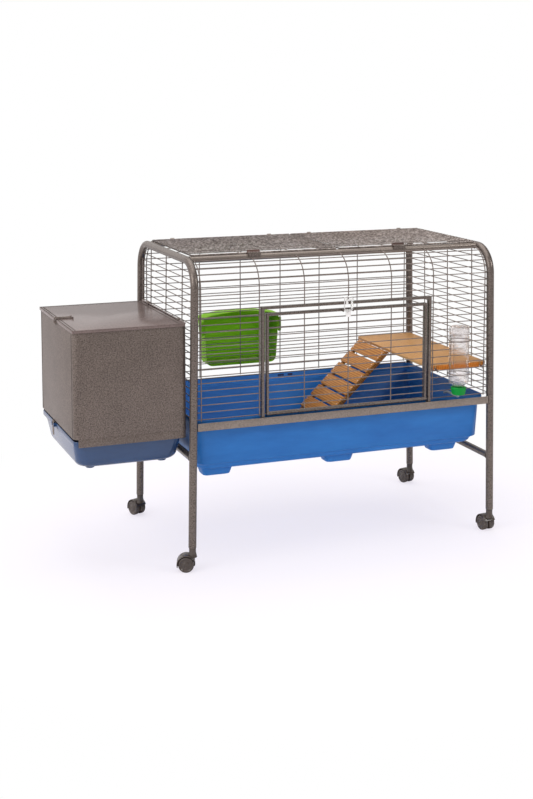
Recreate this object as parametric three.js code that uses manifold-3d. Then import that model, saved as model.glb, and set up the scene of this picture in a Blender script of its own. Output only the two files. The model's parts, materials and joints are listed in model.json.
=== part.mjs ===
// Rabbit cage on a castor stand, with a nest box hung on its left end.
// Millimetres, +X to the right seen from the door side, +Y to the back, +Z up.
// The origin lies on the floor, under the middle of the whole outline.
import * as THREE from 'three';
import { mergeVertices } from 'three/addons/utils/BufferGeometryUtils.js';
import Module from 'manifold-3d';

const wasm = await Module();
wasm.setup();

// Driving sizes: the stand and cage frame
const legSpacingX = 1056;
const legSpacingY = 592;
const tubeRadius = 12.5;
const hoopHeight = 971;
const bendRadius = 85;
const legFootHeight = 76;
const railHeight = 445;
const leftCrossHeight = 358;
const rightCrossHeight = 261;
const crossRadius = 11;
const barRadius = 10;
const hoopLean = 0.0148;
const leanHeight = 263;

// Driving sizes: the wire mesh
const rowPitch = 22.8;
const firstRowHeight = 479;
const wireHalf = 1.8;
const wireBite = 0.7;
const wireStub = 2;
const uprightPitch = 153;

// Driving sizes: the door
const doorPostCentre = 294;
const doorStileCentre = 278.5;
const doorSillHeight = 480;
const doorHeadDrop = 153;

// Driving sizes: the nest box
const nestWidth = 356;
const nestDepth = 461;
const nestTop = 785;
const nestFrontBottom = 425;
const nestLeftBottom = 450;
const nestRightGap = 0.5;
const nestRear = 178;

// Clearances shared by the whole part
const fitGap = 0.3;
const weldGap = 0.4;
const overrun = 5;
const weldTolerance = 0.0001;

// Counts
const tubeSides = 12;
const railSides = 10;
const smallSides = 8;
const rodFacets = 6;
const bendSteps = 6;

const panelY = legSpacingY / 2;
const hoopX = legSpacingX / 2;
const bendStart = hoopHeight - bendRadius;
const bendCentreY = panelY - bendRadius;
const wireLayer = 2 * wireHalf - wireBite;
const doorHeadHeight = hoopHeight - doorHeadDrop;
const hands = [-1, 1];

// Colours and finishes, as seen on the object
function finish(color, roughness, metalness) {
  return new THREE.MeshStandardMaterial({ color, roughness, metalness });
}
const finishes = {
  hammertone: finish(0x7d736e, 0.42, 0.35),
  wire: finish(0x6f6660, 0.4, 0.5),
  sheet: finish(0x75706a, 0.4, 0.4),
  lid: finish(0x9a918c, 0.3, 0.4),
  bluePlastic: finish(0x236eb9, 0.45, 0),
  darkBluePlastic: finish(0x31508c, 0.45, 0),
  greenPlastic: finish(0x4b8719, 0.4, 0),
  wood: finish(0xc89664, 0.75, 0),
  chrome: finish(0xd8d8d8, 0.15, 1),
  blackPlastic: finish(0x3a3330, 0.5, 0),
  castor: finish(0x463c38, 0.5, 0),
  capGreen: finish(0x12944a, 0.4, 0),
  clear: finish(0xe4ecec, 0.1, 0),
  white: finish(0xf0f0ec, 0.35, 0),
};

// Solids: geometry in, welded closed geometry out

function signedVolume(positions, triangles) {
  const a = new THREE.Vector3();
  const b = new THREE.Vector3();
  const c = new THREE.Vector3();
  let total = 0;
  for (let i = 0; i < triangles.length; i += 3) {
    a.fromArray(positions, 3 * triangles[i]);
    b.fromArray(positions, 3 * triangles[i + 1]);
    c.fromArray(positions, 3 * triangles[i + 2]);
    total += a.dot(b.cross(c));
  }
  return total;
}

// Turns a closed three.js geometry into a solid, with its faces pointing out.
function solid(geometry) {
  const bare = geometry.clone();
  bare.deleteAttribute('normal');
  bare.deleteAttribute('uv');
  const merged = mergeVertices(bare, weldTolerance);
  const index = merged.index.array;
  const kept = [];
  for (let i = 0; i < index.length; i += 3) {
    const [a, b, c] = [index[i], index[i + 1], index[i + 2]];
    if (a !== b && b !== c && c !== a) kept.push(a, b, c);
  }
  const vertProperties = new Float32Array(merged.attributes.position.array);
  if (signedVolume(vertProperties, kept) < 0) kept.reverse();
  const triVerts = new Uint32Array(kept);
  return new wasm.Manifold(new wasm.Mesh({ numProp: 3, vertProperties, triVerts }));
}

function toGeometry(body) {
  const mesh = body.getMesh();
  const geometry = new THREE.BufferGeometry();
  geometry.setAttribute('position', new THREE.BufferAttribute(new Float32Array(mesh.vertProperties), 3));
  geometry.setIndex(new THREE.BufferAttribute(new Uint32Array(mesh.triVerts), 1));
  geometry.computeVertexNormals();
  return geometry;
}

function weld(...bodies) {
  return wasm.Manifold.union(bodies.flat());
}

function cut(body, ...tools) {
  return tools.flat().reduce((rest, tool) => rest.subtract(tool), body);
}

// Profiles

function polygon(radius, sides, turn = 0) {
  const points = [];
  for (let i = 0; i < sides; i += 1) {
    const angle = turn + (2 * Math.PI * i) / sides;
    points.push(new THREE.Vector2(radius * Math.cos(angle), radius * Math.sin(angle)));
  }
  return new THREE.Shape(points);
}

function outline(points) {
  return new THREE.Shape(points.map(([u, v]) => new THREE.Vector2(u, v)));
}

function rectangle(u0, v0, u1, v1) {
  return outline([[u0, v0], [u1, v0], [u1, v1], [u0, v1]]);
}

// A rectangle with quarter-round corners of the given radius.
function roundedPoints(u0, v0, u1, v1, radius, steps) {
  const points = [];
  const centres = [[u1 - radius, v1 - radius], [u0 + radius, v1 - radius],
    [u0 + radius, v0 + radius], [u1 - radius, v0 + radius]];
  centres.forEach(([cu, cv], corner) => {
    for (let i = 0; i <= steps; i += 1) {
      const angle = (Math.PI / 2) * (corner + i / steps);
      points.push([cu + radius * Math.cos(angle), cv + radius * Math.sin(angle)]);
    }
  });
  return points;
}

// Extrusions along each axis, from one place to another

function alongZ(shape, z0, z1, curveSegments = smallSides) {
  const geometry = new THREE.ExtrudeGeometry(shape, { depth: z1 - z0, bevelEnabled: false, curveSegments });
  geometry.translate(0, 0, z0);
  return geometry;
}

// The shape's u runs along +Y and its v along +Z.
function alongX(shape, x0, x1, curveSegments = smallSides) {
  const geometry = alongZ(shape, x0, x1, curveSegments);
  geometry.rotateX(Math.PI / 2);
  geometry.rotateZ(Math.PI / 2);
  return geometry;
}

// The shape's u runs along +X and its v along +Z.
function alongY(shape, y0, y1, curveSegments = smallSides) {
  const geometry = alongZ(shape, -y1, -y0, curveSegments);
  geometry.rotateX(Math.PI / 2);
  return geometry;
}

function rodX(radius, sides, x0, x1, y, z) {
  return alongX(polygon(radius, sides, Math.PI / sides), x0, x1).translate(0, y, z);
}

function rodY(radius, sides, y0, y1, x, z) {
  return alongY(polygon(radius, sides, Math.PI / sides), y0, y1).translate(x, 0, z);
}

function rodZ(radius, sides, z0, z1, x, y) {
  return alongZ(polygon(radius, sides, Math.PI / sides), z0, z1).translate(x, y, 0);
}

function block(x0, y0, z0, x1, y1, z1) {
  return alongZ(rectangle(x0, y0, x1, y1), z0, z1);
}

function revolve(points, sides) {
  const profile = points.map(([r, z]) => new THREE.Vector2(r, z));
  return new THREE.LatheGeometry(profile, sides).rotateX(Math.PI / 2);
}

// A path through stations, each a point and the direction of travel there.
class StationPath extends THREE.Curve {
  constructor(stations) {
    super();
    this.stations = stations;
  }

  between(t, key) {
    const place = t * (this.stations.length - 1);
    const from = Math.min(Math.floor(place), this.stations.length - 2);
    return this.stations[from][key].clone().lerp(this.stations[from + 1][key], place - from);
  }

  getPoint(t) {
    return this.between(t, 'point');
  }

  getTangent(t) {
    return this.between(t, 'direction').normalize();
  }

  getUtoTmapping(u) {
    return u;
  }
}

// Stations along straight runs joined by arcs of one radius.
function bentStations(corners, radius, steps) {
  const points = corners.map((corner) => new THREE.Vector3(...corner));
  const stations = [];
  const heading = (i) => points[i + 1].clone().sub(points[i]).normalize();
  stations.push({ point: points[0], direction: heading(0) });
  for (let i = 1; i < points.length - 1; i += 1) {
    const before = heading(i - 1);
    const after = heading(i);
    const turn = before.angleTo(after);
    const inward = after.clone().addScaledVector(before, -after.dot(before)).normalize();
    const start = points[i].clone().addScaledVector(before, -radius * Math.tan(turn / 2));
    const centre = start.clone().addScaledVector(inward, radius);
    for (let step = 0; step <= steps; step += 1) {
      const angle = (turn * step) / steps;
      const point = centre.clone().addScaledVector(inward, -radius * Math.cos(angle))
        .addScaledVector(before, radius * Math.sin(angle));
      const direction = before.clone().multiplyScalar(Math.cos(angle))
        .addScaledVector(inward, Math.sin(angle));
      stations.push({ point, direction });
    }
  }
  stations.push({ point: points[points.length - 1], direction: heading(points.length - 2) });
  return stations;
}

function sweep(shape, stations) {
  const extrudePath = new StationPath(stations);
  return new THREE.ExtrudeGeometry(shape, { steps: stations.length - 1, extrudePath, bevelEnabled: false });
}

function bentRod(corners, radius, sides, bend, steps) {
  return sweep(polygon(radius, sides, Math.PI / sides), bentStations(corners, bend, steps));
}

// A closed skin over rings of equal count, with flat lids on the first and last.
function loft(rings) {
  const count = rings[0].length;
  const positions = rings.flat(2);
  const index = [];
  for (let ring = 0; ring < rings.length - 1; ring += 1) {
    for (let i = 0; i < count; i += 1) {
      const a = ring * count + i;
      const b = ring * count + ((i + 1) % count);
      index.push(a, b, b + count, a, b + count, a + count);
    }
  }
  const last = (rings.length - 1) * count;
  for (let i = 1; i < count - 1; i += 1) {
    index.push(0, i + 1, i);
    index.push(last, last + i, last + i + 1);
  }
  const geometry = new THREE.BufferGeometry();
  geometry.setAttribute('position', new THREE.Float32BufferAttribute(positions, 3));
  geometry.setIndex(index);
  return geometry;
}

const cage = new THREE.Group();

function part(name, body, material, parent = cage) {
  const mesh = new THREE.Mesh(toGeometry(body), material);
  mesh.name = name;
  parent.add(mesh);
  return mesh;
}

// Frame: two bent hoops, each one tube from castor to castor

const stemBoreRadius = 6.4;
const stemBoreDepth = 38;

// Each end of the cage leans inwards about a line across its legs.
function leanMatrix(hand) {
  const away = new THREE.Matrix4().makeTranslation(hand * hoopX, 0, leanHeight);
  const back = new THREE.Matrix4().makeTranslation(-hand * hoopX, 0, -leanHeight);
  return away.multiply(new THREE.Matrix4().makeRotationY(-hand * hoopLean)).multiply(back);
}

// How far out the middle of a leaning hoop stands at a height.
function hoopReach(z) {
  return hoopX - (z - leanHeight) * Math.tan(hoopLean);
}

function hoopTube(x, radius) {
  const corners = [[x, -panelY, legFootHeight], [x, -panelY, hoopHeight],
    [x, panelY, hoopHeight], [x, panelY, legFootHeight]];
  return bentRod(corners, radius, tubeSides, bendRadius, bendSteps);
}

function hoop(x) {
  const bores = [-panelY, panelY].map((y) => solid(
    rodZ(stemBoreRadius, smallSides, legFootHeight - overrun, legFootHeight + stemBoreDepth, x, y)));
  return cut(solid(hoopTube(x, tubeRadius)), bores);
}

const clearRadius = tubeRadius + fitGap;
const hoopClearances = hands.map((hand) => solid(
  hoopTube(hand * hoopX, clearRadius).applyMatrix4(leanMatrix(hand))));
const [leftEnd, rightEnd] = hands.map((hand) => {
  const end = new THREE.Group();
  end.applyMatrix4(leanMatrix(hand));
  cage.add(end);
  return end;
});

part('left_hoop', hoop(-hoopX), finishes.hammertone, leftEnd);
part('right_hoop', hoop(hoopX), finishes.hammertone, rightEnd);

// Frame: cross bars between the legs of each hoop
function crossBar(x, z) {
  return cut(solid(rodY(crossRadius, railSides, -panelY, panelY, x, z)), solid(hoopTube(x, clearRadius)));
}

part('left_cross_bar', crossBar(-hoopX, leftCrossHeight), finishes.hammertone, leftEnd);
part('right_cross_bar', crossBar(hoopX, rightCrossHeight), finishes.hammertone, rightEnd);

// Frame: angle rails, an upright face between the legs and a ledge that carries the tray
const railFace = 25;
const railWall = 2.5;
const railOut = 9.5;
const railLedge = 36;

function rail(side) {
  const outer = panelY + railOut;
  const top = railHeight + railFace;
  const ledge = railHeight + railWall;
  const points = [[outer, railHeight], [outer, top], [outer - railWall, top], [outer - railWall, ledge],
    [outer - railLedge, ledge], [outer - railLedge, railHeight]];
  const shape = outline(points.map(([y, z]) => [side * y, z]));
  return cut(solid(alongX(shape, -hoopX, hoopX)), hoopClearances);
}

part('front_rail', rail(-1), finishes.hammertone);
part('rear_rail', rail(1), finishes.hammertone);

// Frame: top bars between the hoops, and a bar down the middle of the roof
const centreBarHalf = 7;
const hingeEyeRadius = 6;
const hingeEyeLength = 12;
const lidRodRadius = 2.6;
const lidRodGap = 0.5;
const lidAxisHeight = hoopHeight + barRadius + fitGap + lidRodRadius;
const lidMiddleGap = 6;
const lidSideGap = 3.5;
const lidEyeInset = 70;
const topReach = hoopReach(hoopHeight);
const lidOuter = Math.floor(topReach - tubeRadius - lidSideGap);
const lidEyePlaces = [-lidOuter + lidEyeInset, -lidMiddleGap - lidEyeInset, lidMiddleGap + lidEyeInset,
  lidOuter - lidEyeInset];

function topBar(y) {
  return cut(solid(rodX(barRadius, railSides, -topReach, topReach, y, hoopHeight)), hoopClearances);
}

function hingeEye(x) {
  const ring = solid(rodX(hingeEyeRadius, smallSides, x - hingeEyeLength / 2, x + hingeEyeLength / 2,
    bendCentreY, lidAxisHeight));
  return ring;
}

function eyeBore() {
  return solid(rodX(lidRodRadius + lidRodGap, smallSides, -hoopX, hoopX, bendCentreY, lidAxisHeight));
}

part('top_front_bar', topBar(-bendCentreY), finishes.hammertone);
const rearBar = weld(topBar(bendCentreY), lidEyePlaces.map(hingeEye));
part('top_rear_bar', cut(rearBar, eyeBore()), finishes.hammertone);
const centreBarEnd = bendCentreY - barRadius - fitGap;
part('roof_centre_bar', solid(block(-centreBarHalf, -centreBarEnd, hoopHeight - centreBarHalf,
  centreBarHalf, centreBarEnd, hoopHeight + centreBarHalf)), finishes.hammertone);

// Wire mesh: diamond-section wires welded ridge to ridge, uprights outside and rows inside

const diamond = polygon(wireHalf, 4);

function wireAlongX(x0, x1, y, z, turn = 0) {
  return solid(alongX(diamond, x0, x1).rotateX(turn).translate(0, y, z));
}

function wireAlongY(y0, y1, x, z) {
  return solid(alongY(diamond, y0, y1).translate(x, 0, z));
}

function wireAlongZ(z0, z1, x, y) {
  return solid(alongZ(diamond, z0, z1).translate(x, y, 0));
}

// The bent front and back panels: a wire's place at a height measured along the panel.
const meshBottom = firstRowHeight - wireHalf - wireStub;
const bentWireAngle = Math.acos((barRadius + weldGap + wireHalf) / bendRadius);
const meshReach = bendStart + bendRadius * bentWireAngle;
const rowCount = Math.floor((meshReach - rowPitch / 2 - firstRowHeight) / rowPitch) + 1;

function rowHeight(row) {
  return firstRowHeight + rowPitch * row;
}

function bentPlace(side, along, layer) {
  if (along <= bendStart) return { y: side * (panelY - layer), z: along, turn: 0 };
  const angle = (along - bendStart) / bendRadius;
  const radius = bendRadius - layer;
  const y = side * (bendCentreY + radius * Math.cos(angle));
  return { y, z: bendStart + radius * Math.sin(angle), turn: -side * angle };
}

function bentUpright(side, x, from) {
  const start = { point: new THREE.Vector3(x, side * panelY, from), direction: new THREE.Vector3(0, 0, 1) };
  const stations = [start];
  for (let step = 0; step <= bendSteps; step += 1) {
    const angle = (bentWireAngle * step) / bendSteps;
    const place = bentPlace(side, bendStart + bendRadius * angle, 0);
    const point = new THREE.Vector3(x, place.y, place.z);
    const direction = new THREE.Vector3(0, -side * Math.sin(angle), Math.cos(angle));
    stations.push({ point, direction });
  }
  return solid(sweep(diamond, stations));
}

function bentRow(side, row, x0, x1) {
  const place = bentPlace(side, rowHeight(row), wireLayer);
  return wireAlongX(x0, x1, place.y, place.z, place.turn);
}

const rows = Array.from({ length: rowCount }, (_, row) => row);
const edgeUpright = 499;
const doorwayUpright = 2 * uprightPitch;
const innerUprights = [-uprightPitch, 0, uprightPitch];
const postHalf = 4.5;
const headBarHalf = 4;
const postOuter = doorPostCentre + postHalf;
const headTop = doorHeadHeight + headBarHalf;

function rowEnd(row) {
  const place = bentPlace(1, rowHeight(row), wireLayer);
  return hoopReach(place.z + wireHalf) - tubeRadius - weldGap;
}

// Rows end at the doorway's post, and above it beside the mesh over the door.
function frontSide(hand) {
  const uprights = [edgeUpright, doorwayUpright].map((x) => bentUpright(-1, hand * x, meshBottom));
  return weld(uprights, rows.map((row) => {
    const besidePost = rowHeight(row) < headTop + wireHalf + weldGap;
    const inner = besidePost ? postOuter + weldGap : doorwayUpright - wireStub;
    const ends = [hand * rowEnd(row), hand * inner].sort((a, b) => a - b);
    return bentRow(-1, row, ...ends);
  }));
}

part('front_mesh_left', frontSide(-1), finishes.wire);
part('front_mesh_right', frontSide(1), finishes.wire);

const topMeshEnd = doorwayUpright - wireStub - fitGap;
const rowsAboveDoor = rows.filter((row) => rowHeight(row) >= headTop + wireHalf + weldGap);
const topMesh = weld(innerUprights.map((x) => bentUpright(-1, x, headTop + weldGap)),
  rowsAboveDoor.map((row) => bentRow(-1, row, -topMeshEnd, topMeshEnd)));
part('front_mesh_top', topMesh, finishes.wire);

const rearUprights = [-edgeUpright, -doorwayUpright, ...innerUprights, doorwayUpright, edgeUpright];
const rearMesh = weld(rearUprights.map((x) => bentUpright(1, x, meshBottom)),
  rows.map((row) => bentRow(1, row, -rowEnd(row), rowEnd(row))));
part('rear_mesh', rearMesh, finishes.wire);

// Wire mesh: the end panels inside the hoops, the left one open to the nest box
const endUpright = 172;
const endEdge = 276;
const hoopInner = bendRadius - tubeRadius - weldGap;
const entranceHalf = 95;
const entranceFirstRow = 1;
const entranceRows = 9;

function hoopHalfWidth(z) {
  if (z <= bendStart) return panelY - tubeRadius - weldGap;
  return bendCentreY + Math.sqrt(hoopInner ** 2 - (z - bendStart) ** 2);
}

function endTop(y) {
  const out = Math.abs(y) - bendCentreY;
  return bendStart + (out > 0 ? Math.sqrt(hoopInner ** 2 - out ** 2) : hoopInner) - wireHalf;
}

function endMesh(hand, entrance) {
  const x = hand * hoopX;
  const rowX = x - hand * wireLayer;
  const firstCut = entrance ? entranceFirstRow : rowCount;
  const lastCut = firstCut + entranceRows;
  const isCut = (row) => row >= firstCut && row < lastCut;
  const wires = [];
  rows.filter((row) => rowHeight(row) < endTop(0) - wireHalf).forEach((row) => {
    const z = rowHeight(row);
    const half = Math.min(hoopHalfWidth(z), hoopHalfWidth(z + wireHalf));
    if (isCut(row)) {
      wires.push(wireAlongY(-half, -entranceHalf + wireStub, rowX, z));
      wires.push(wireAlongY(entranceHalf - wireStub, half, rowX, z));
    } else {
      wires.push(wireAlongY(-half, half, rowX, z));
    }
  });
  [-endEdge, -endUpright, endUpright, endEdge].forEach((y) => {
    wires.push(wireAlongZ(meshBottom, endTop(Math.abs(y) + wireHalf), x, y));
  });
  const middleFrom = entrance ? rowHeight(lastCut) - wireStub - wireHalf : meshBottom;
  wires.push(wireAlongZ(middleFrom, endTop(0), x, 0));
  if (entrance) {
    const jambTop = rowHeight(lastCut) + wireStub + wireHalf;
    [-entranceHalf, entranceHalf].forEach((y) => wires.push(wireAlongZ(meshBottom, jambTop, x, y)));
  }
  return weld(wires);
}

part('left_mesh', endMesh(-1, true), finishes.wire, leftEnd);
part('right_mesh', endMesh(1, false), finishes.wire, rightEnd);

// Doorway: steel bars set on edge between the side meshes, with a catch for the bail on the head bar
const frameDepth = 18;
const frameProud = 4;
const frameFront = -panelY - frameProud;
const frameBack = frameFront + frameDepth;
const postBottom = railHeight + railWall + fitGap;
const sillRadius = 6;
const hingeAxisY = frameFront + sillRadius;
const pinRadius = 2.5;
const pinGap = 0.4;
const pinReach = 6;

function doorwayFrame() {
  const inner = doorPostCentre - postHalf;
  const under = doorHeadHeight - headBarHalf;
  const shape = outline([[-postOuter, postBottom], [-inner, postBottom], [-inner, under], [inner, under],
    [inner, postBottom], [postOuter, postBottom], [postOuter, headTop], [-postOuter, headTop]]);
  const frame = solid(alongY(shape, frameFront, frameBack));
  const bores = hands.map((side) => solid(rodX(pinRadius + pinGap, smallSides,
    side > 0 ? inner - overrun : -inner - pinReach - pinGap,
    side > 0 ? inner + pinReach + pinGap : -inner + overrun, hingeAxisY, doorSillHeight)));
  return cut(frame, bores);
}

part('doorway_frame', doorwayFrame(), finishes.hammertone);

const latchX = -7;
const knobRadius = 3;
const knobLength = 12;
const knobRise = 11.5;
const knobZ = doorHeadHeight + knobRise;
const catchHalf = 4;
const catchThick = 2;

function doorwayCatch() {
  const back = frameFront - fitGap;
  const plate = solid(block(latchX - catchHalf, back - catchThick, doorHeadHeight - headBarHalf,
    latchX + catchHalf, back, knobZ + catchHalf));
  const knob = solid(rodY(knobRadius, smallSides, back - catchThick - knobLength, back - catchThick / 2,
    latchX, knobZ));
  return weld(plate, knob);
}

part('doorway_catch', doorwayCatch(), finishes.chrome);

// Door: steel bars on edge with a round hinge bar at the sill, and a mesh between the bars
const stileHalf = 3.5;
const doorHeadGap = 13.5;
const doorRailHalf = 4;
const doorTop = doorHeadHeight - headBarHalf - doorHeadGap;
const latchEarX = 17;
const latchEarThick = 3;
const latchEarReach = 14;
const latchPinRadius = 1.5;
const latchPinGap = 0.4;
const latchAxisZ = doorTop - doorRailHalf;
const latchAxisY = frameFront - latchEarReach + doorRailHalf;

function doorFrame() {
  const outer = doorStileCentre + stileHalf;
  const inner = doorStileCentre - stileHalf;
  const under = doorTop - 2 * doorRailHalf;
  const shape = outline([[-outer, doorSillHeight], [-inner, doorSillHeight], [-inner, under], [inner, under],
    [inner, doorSillHeight], [outer, doorSillHeight], [outer, doorTop], [-outer, doorTop]]);
  const frame = solid(alongY(shape, frameFront, frameBack));
  const sill = solid(rodX(sillRadius, railSides, -outer, outer, hingeAxisY, doorSillHeight));
  const pinEnd = doorPostCentre - postHalf + pinReach;
  const pin = solid(rodX(pinRadius, smallSides, -pinEnd, pinEnd, hingeAxisY, doorSillHeight));
  const ears = hands.map((side) => {
    const x = latchX + side * latchEarX;
    return solid(block(x - latchEarThick / 2, frameFront - latchEarReach, latchAxisZ - doorRailHalf,
      x + latchEarThick / 2, frameFront + overrun / 2, latchAxisZ + doorRailHalf));
  });
  const earBore = solid(rodX(latchPinRadius + latchPinGap, smallSides, latchX - latchEarX - overrun,
    latchX + latchEarX + overrun, latchAxisY, latchAxisZ));
  return cut(weld(frame, sill, pin, ears), earBore);
}

const door = new THREE.Group();
cage.add(door);
part('door_frame', doorFrame(), finishes.hammertone, door);

const doorWireEnd = doorStileCentre - stileHalf - weldGap;
const doorWireTop = doorTop - 2 * doorRailHalf - weldGap;
const doorWireBottom = doorSillHeight + sillRadius + weldGap;
const doorRows = rows.filter((row) => rowHeight(row) > doorWireBottom + wireHalf
  && rowHeight(row) < doorWireTop - wireHalf);
const doorMesh = weld(
  innerUprights.map((x) => wireAlongZ(doorWireBottom, doorWireTop, x, -panelY)),
  doorRows.map((row) => wireAlongX(-doorWireEnd, doorWireEnd, -panelY + wireLayer, rowHeight(row))));
part('door_mesh', doorMesh, finishes.wire, door);

// Door latch: a sprung bail on the door that slips over the knob of the catch
const bailHalfWidth = 13;
const bailRodRadius = 1.8;
const bailBend = 4;
const bailClear = 5.2;
const bailTabDrop = 22;
const bailTabHalf = 9;
const bailTabThick = 2;

function doorLatch() {
  const top = knobZ + knobRadius + bailClear + bailRodRadius;
  const corners = [[-bailHalfWidth, latchAxisY, latchAxisZ], [-bailHalfWidth, latchAxisY, top],
    [bailHalfWidth, latchAxisY, top], [bailHalfWidth, latchAxisY, latchAxisZ]];
  const bail = solid(bentRod(corners, bailRodRadius, smallSides, bailBend, 3));
  const pinEnd = latchEarX + latchEarThick / 2;
  const pin = solid(rodX(latchPinRadius, smallSides, -pinEnd, pinEnd, latchAxisY, latchAxisZ));
  const barrelEnd = latchEarX - latchEarThick / 2 - fitGap;
  const barrel = solid(rodX(2 * latchPinRadius, smallSides, -barrelEnd, barrelEnd, latchAxisY, latchAxisZ));
  const tab = solid(block(-bailTabHalf, latchAxisY - bailTabThick / 2, latchAxisZ - bailTabDrop,
    bailTabHalf, latchAxisY + bailTabThick / 2, latchAxisZ));
  return weld(bail, pin, barrel, tab);
}

const doorLatchMesh = part('door_latch', doorLatch(), finishes.chrome, door);
doorLatchMesh.position.x = latchX;

// Roof: two mesh lids that lie on the top bars and turn about the rear bar
const lidFront = -bendCentreY;
const lidRows = Math.floor((2 * bendCentreY - rowPitch / 2) / rowPitch);
const lidUprightShares = [1 / 3, 2 / 3];

function roofLid(hand) {
  const near = hand * lidMiddleGap;
  const far = hand * lidOuter;
  const [x0, x1] = [near, far].sort((a, b) => a - b);
  const rods = [bendCentreY, lidFront].map((y) => solid(rodX(lidRodRadius, smallSides, x0 - lidRodRadius,
    x1 + lidRodRadius, y, lidAxisHeight)));
  const ends = [x0, x1].map((x) => solid(rodY(lidRodRadius, smallSides, lidFront, bendCentreY, x,
    lidAxisHeight)));
  const uprights = lidUprightShares.map((share) => wireAlongY(lidFront, bendCentreY, x0 + (x1 - x0) * share,
    lidAxisHeight));
  const wires = [];
  for (let row = 1; row <= lidRows; row += 1) {
    wires.push(wireAlongX(x0 - wireStub / 2, x1 + wireStub / 2, lidFront + rowPitch * row,
      lidAxisHeight + wireLayer));
  }
  return weld(rods, ends, uprights, wires);
}

const leftLid = new THREE.Group();
const rightLid = new THREE.Group();
cage.add(leftLid, rightLid);
part('roof_lid_left', roofLid(-1), finishes.wire, leftLid);
part('roof_lid_right', roofLid(1), finishes.wire, rightLid);

// Roof latches: a barrel round the front rod of a lid, with a jaw in front of the front bar
const latchLength = 42;
const latchPlaces = [-294, 217];
const latchBarrelRadius = 6.2;
const jawThick = 3;
const jawGap = 0.6;
const latchTabRise = 10;
const latchTabThick = 4;
const latchTurn = 50;

function roofLatch(centre) {
  const x0 = centre - latchLength / 2;
  const x1 = centre + latchLength / 2;
  const jawY = lidFront - barRadius - jawGap;
  const barrel = solid(rodX(latchBarrelRadius, tubeSides, x0, x1, lidFront, lidAxisHeight));
  const jawTop = lidAxisHeight + latchBarrelRadius / 2;
  const jawFoot = hoopHeight + wireHalf + jawGap;
  const jawShape = outline([[jawY, jawFoot], [jawY, lidAxisHeight - jawGap],
    [lidFront, lidAxisHeight - jawGap], [lidFront, jawTop], [jawY - jawThick, jawTop],
    [jawY - jawThick, jawFoot]]);
  const jaw = solid(alongX(jawShape, x0, x1));
  const tab = solid(block(x0, lidFront - latchTabThick / 2, lidAxisHeight, x1, lidFront + latchTabThick / 2,
    lidAxisHeight + latchTabRise));
  const bore = solid(rodX(lidRodRadius + lidRodGap, smallSides, x0 - overrun, x1 + overrun, lidFront,
    lidAxisHeight));
  const seat = hoopHeight + barRadius + jawGap;
  const low = seat - barRadius;
  const back = lidFront + 2 * latchBarrelRadius;
  const turn = THREE.MathUtils.degToRad(latchTurn);
  const swept = seat + 2 * latchBarrelRadius * Math.tan(turn);
  const mouth = solid(alongX(outline([[jawY, low], [back, low], [back, swept], [lidFront, seat],
    [jawY, seat]]), x0 - overrun, x1 + overrun));
  return cut(weld(barrel, jaw, tab), bore, mouth);
}

const [leftLatch, rightLatch] = latchPlaces.map(roofLatch);
part('roof_latch_left', leftLatch, finishes.blackPlastic, leftLid);
part('roof_latch_right', rightLatch, finishes.blackPlastic, rightLid);

// Main tray: a deep moulded tray whose rim slides on the ledges of the rails
const trayWall = 3;
const trayCorner = 26;
const trayCornerSteps = 4;
const trayRimTop = 24;
const trayRimThick = 3;
const trayRimOverlap = 12;
const trayEndGap = 3;
const trayFloor = 305;
const trayShoulder = 324;
const trayShoulderIn = 6;
const trayDraft = 8;
const trayFootHeight = 25;
const trayFootLength = 92;
const trayFootWidth = 60;
const trayFootPlaces = [-425, 0, 385];
const trayFootInset = 34;
const trayFootTaper = 7;
const runnerZ = railHeight + railWall + fitGap;
const ledgeEdge = panelY + railOut - railLedge;
const rimHalfY = ledgeEdge + trayRimOverlap;
const rimHalfX = hoopX - tubeRadius - trayEndGap;
const bodyHalfY = ledgeEdge - fitGap - trayEndGap / 2;
const bodyHalfX = rimHalfX - trayRimOverlap / 2;

function trayRing(inset, z, corner = trayCorner) {
  const radius = Math.max(corner - inset, trayWall);
  const points = roundedPoints(-bodyHalfX + inset, -bodyHalfY + inset, bodyHalfX - inset, bodyHalfY - inset,
    radius, trayCornerSteps);
  return points.map(([x, y]) => [x, y, z]);
}

function rimRing(z) {
  const points = roundedPoints(-rimHalfX, -rimHalfY, rimHalfX, rimHalfY, trayCorner, trayCornerSteps);
  return points.map(([x, y]) => [x, y, z]);
}

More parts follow.
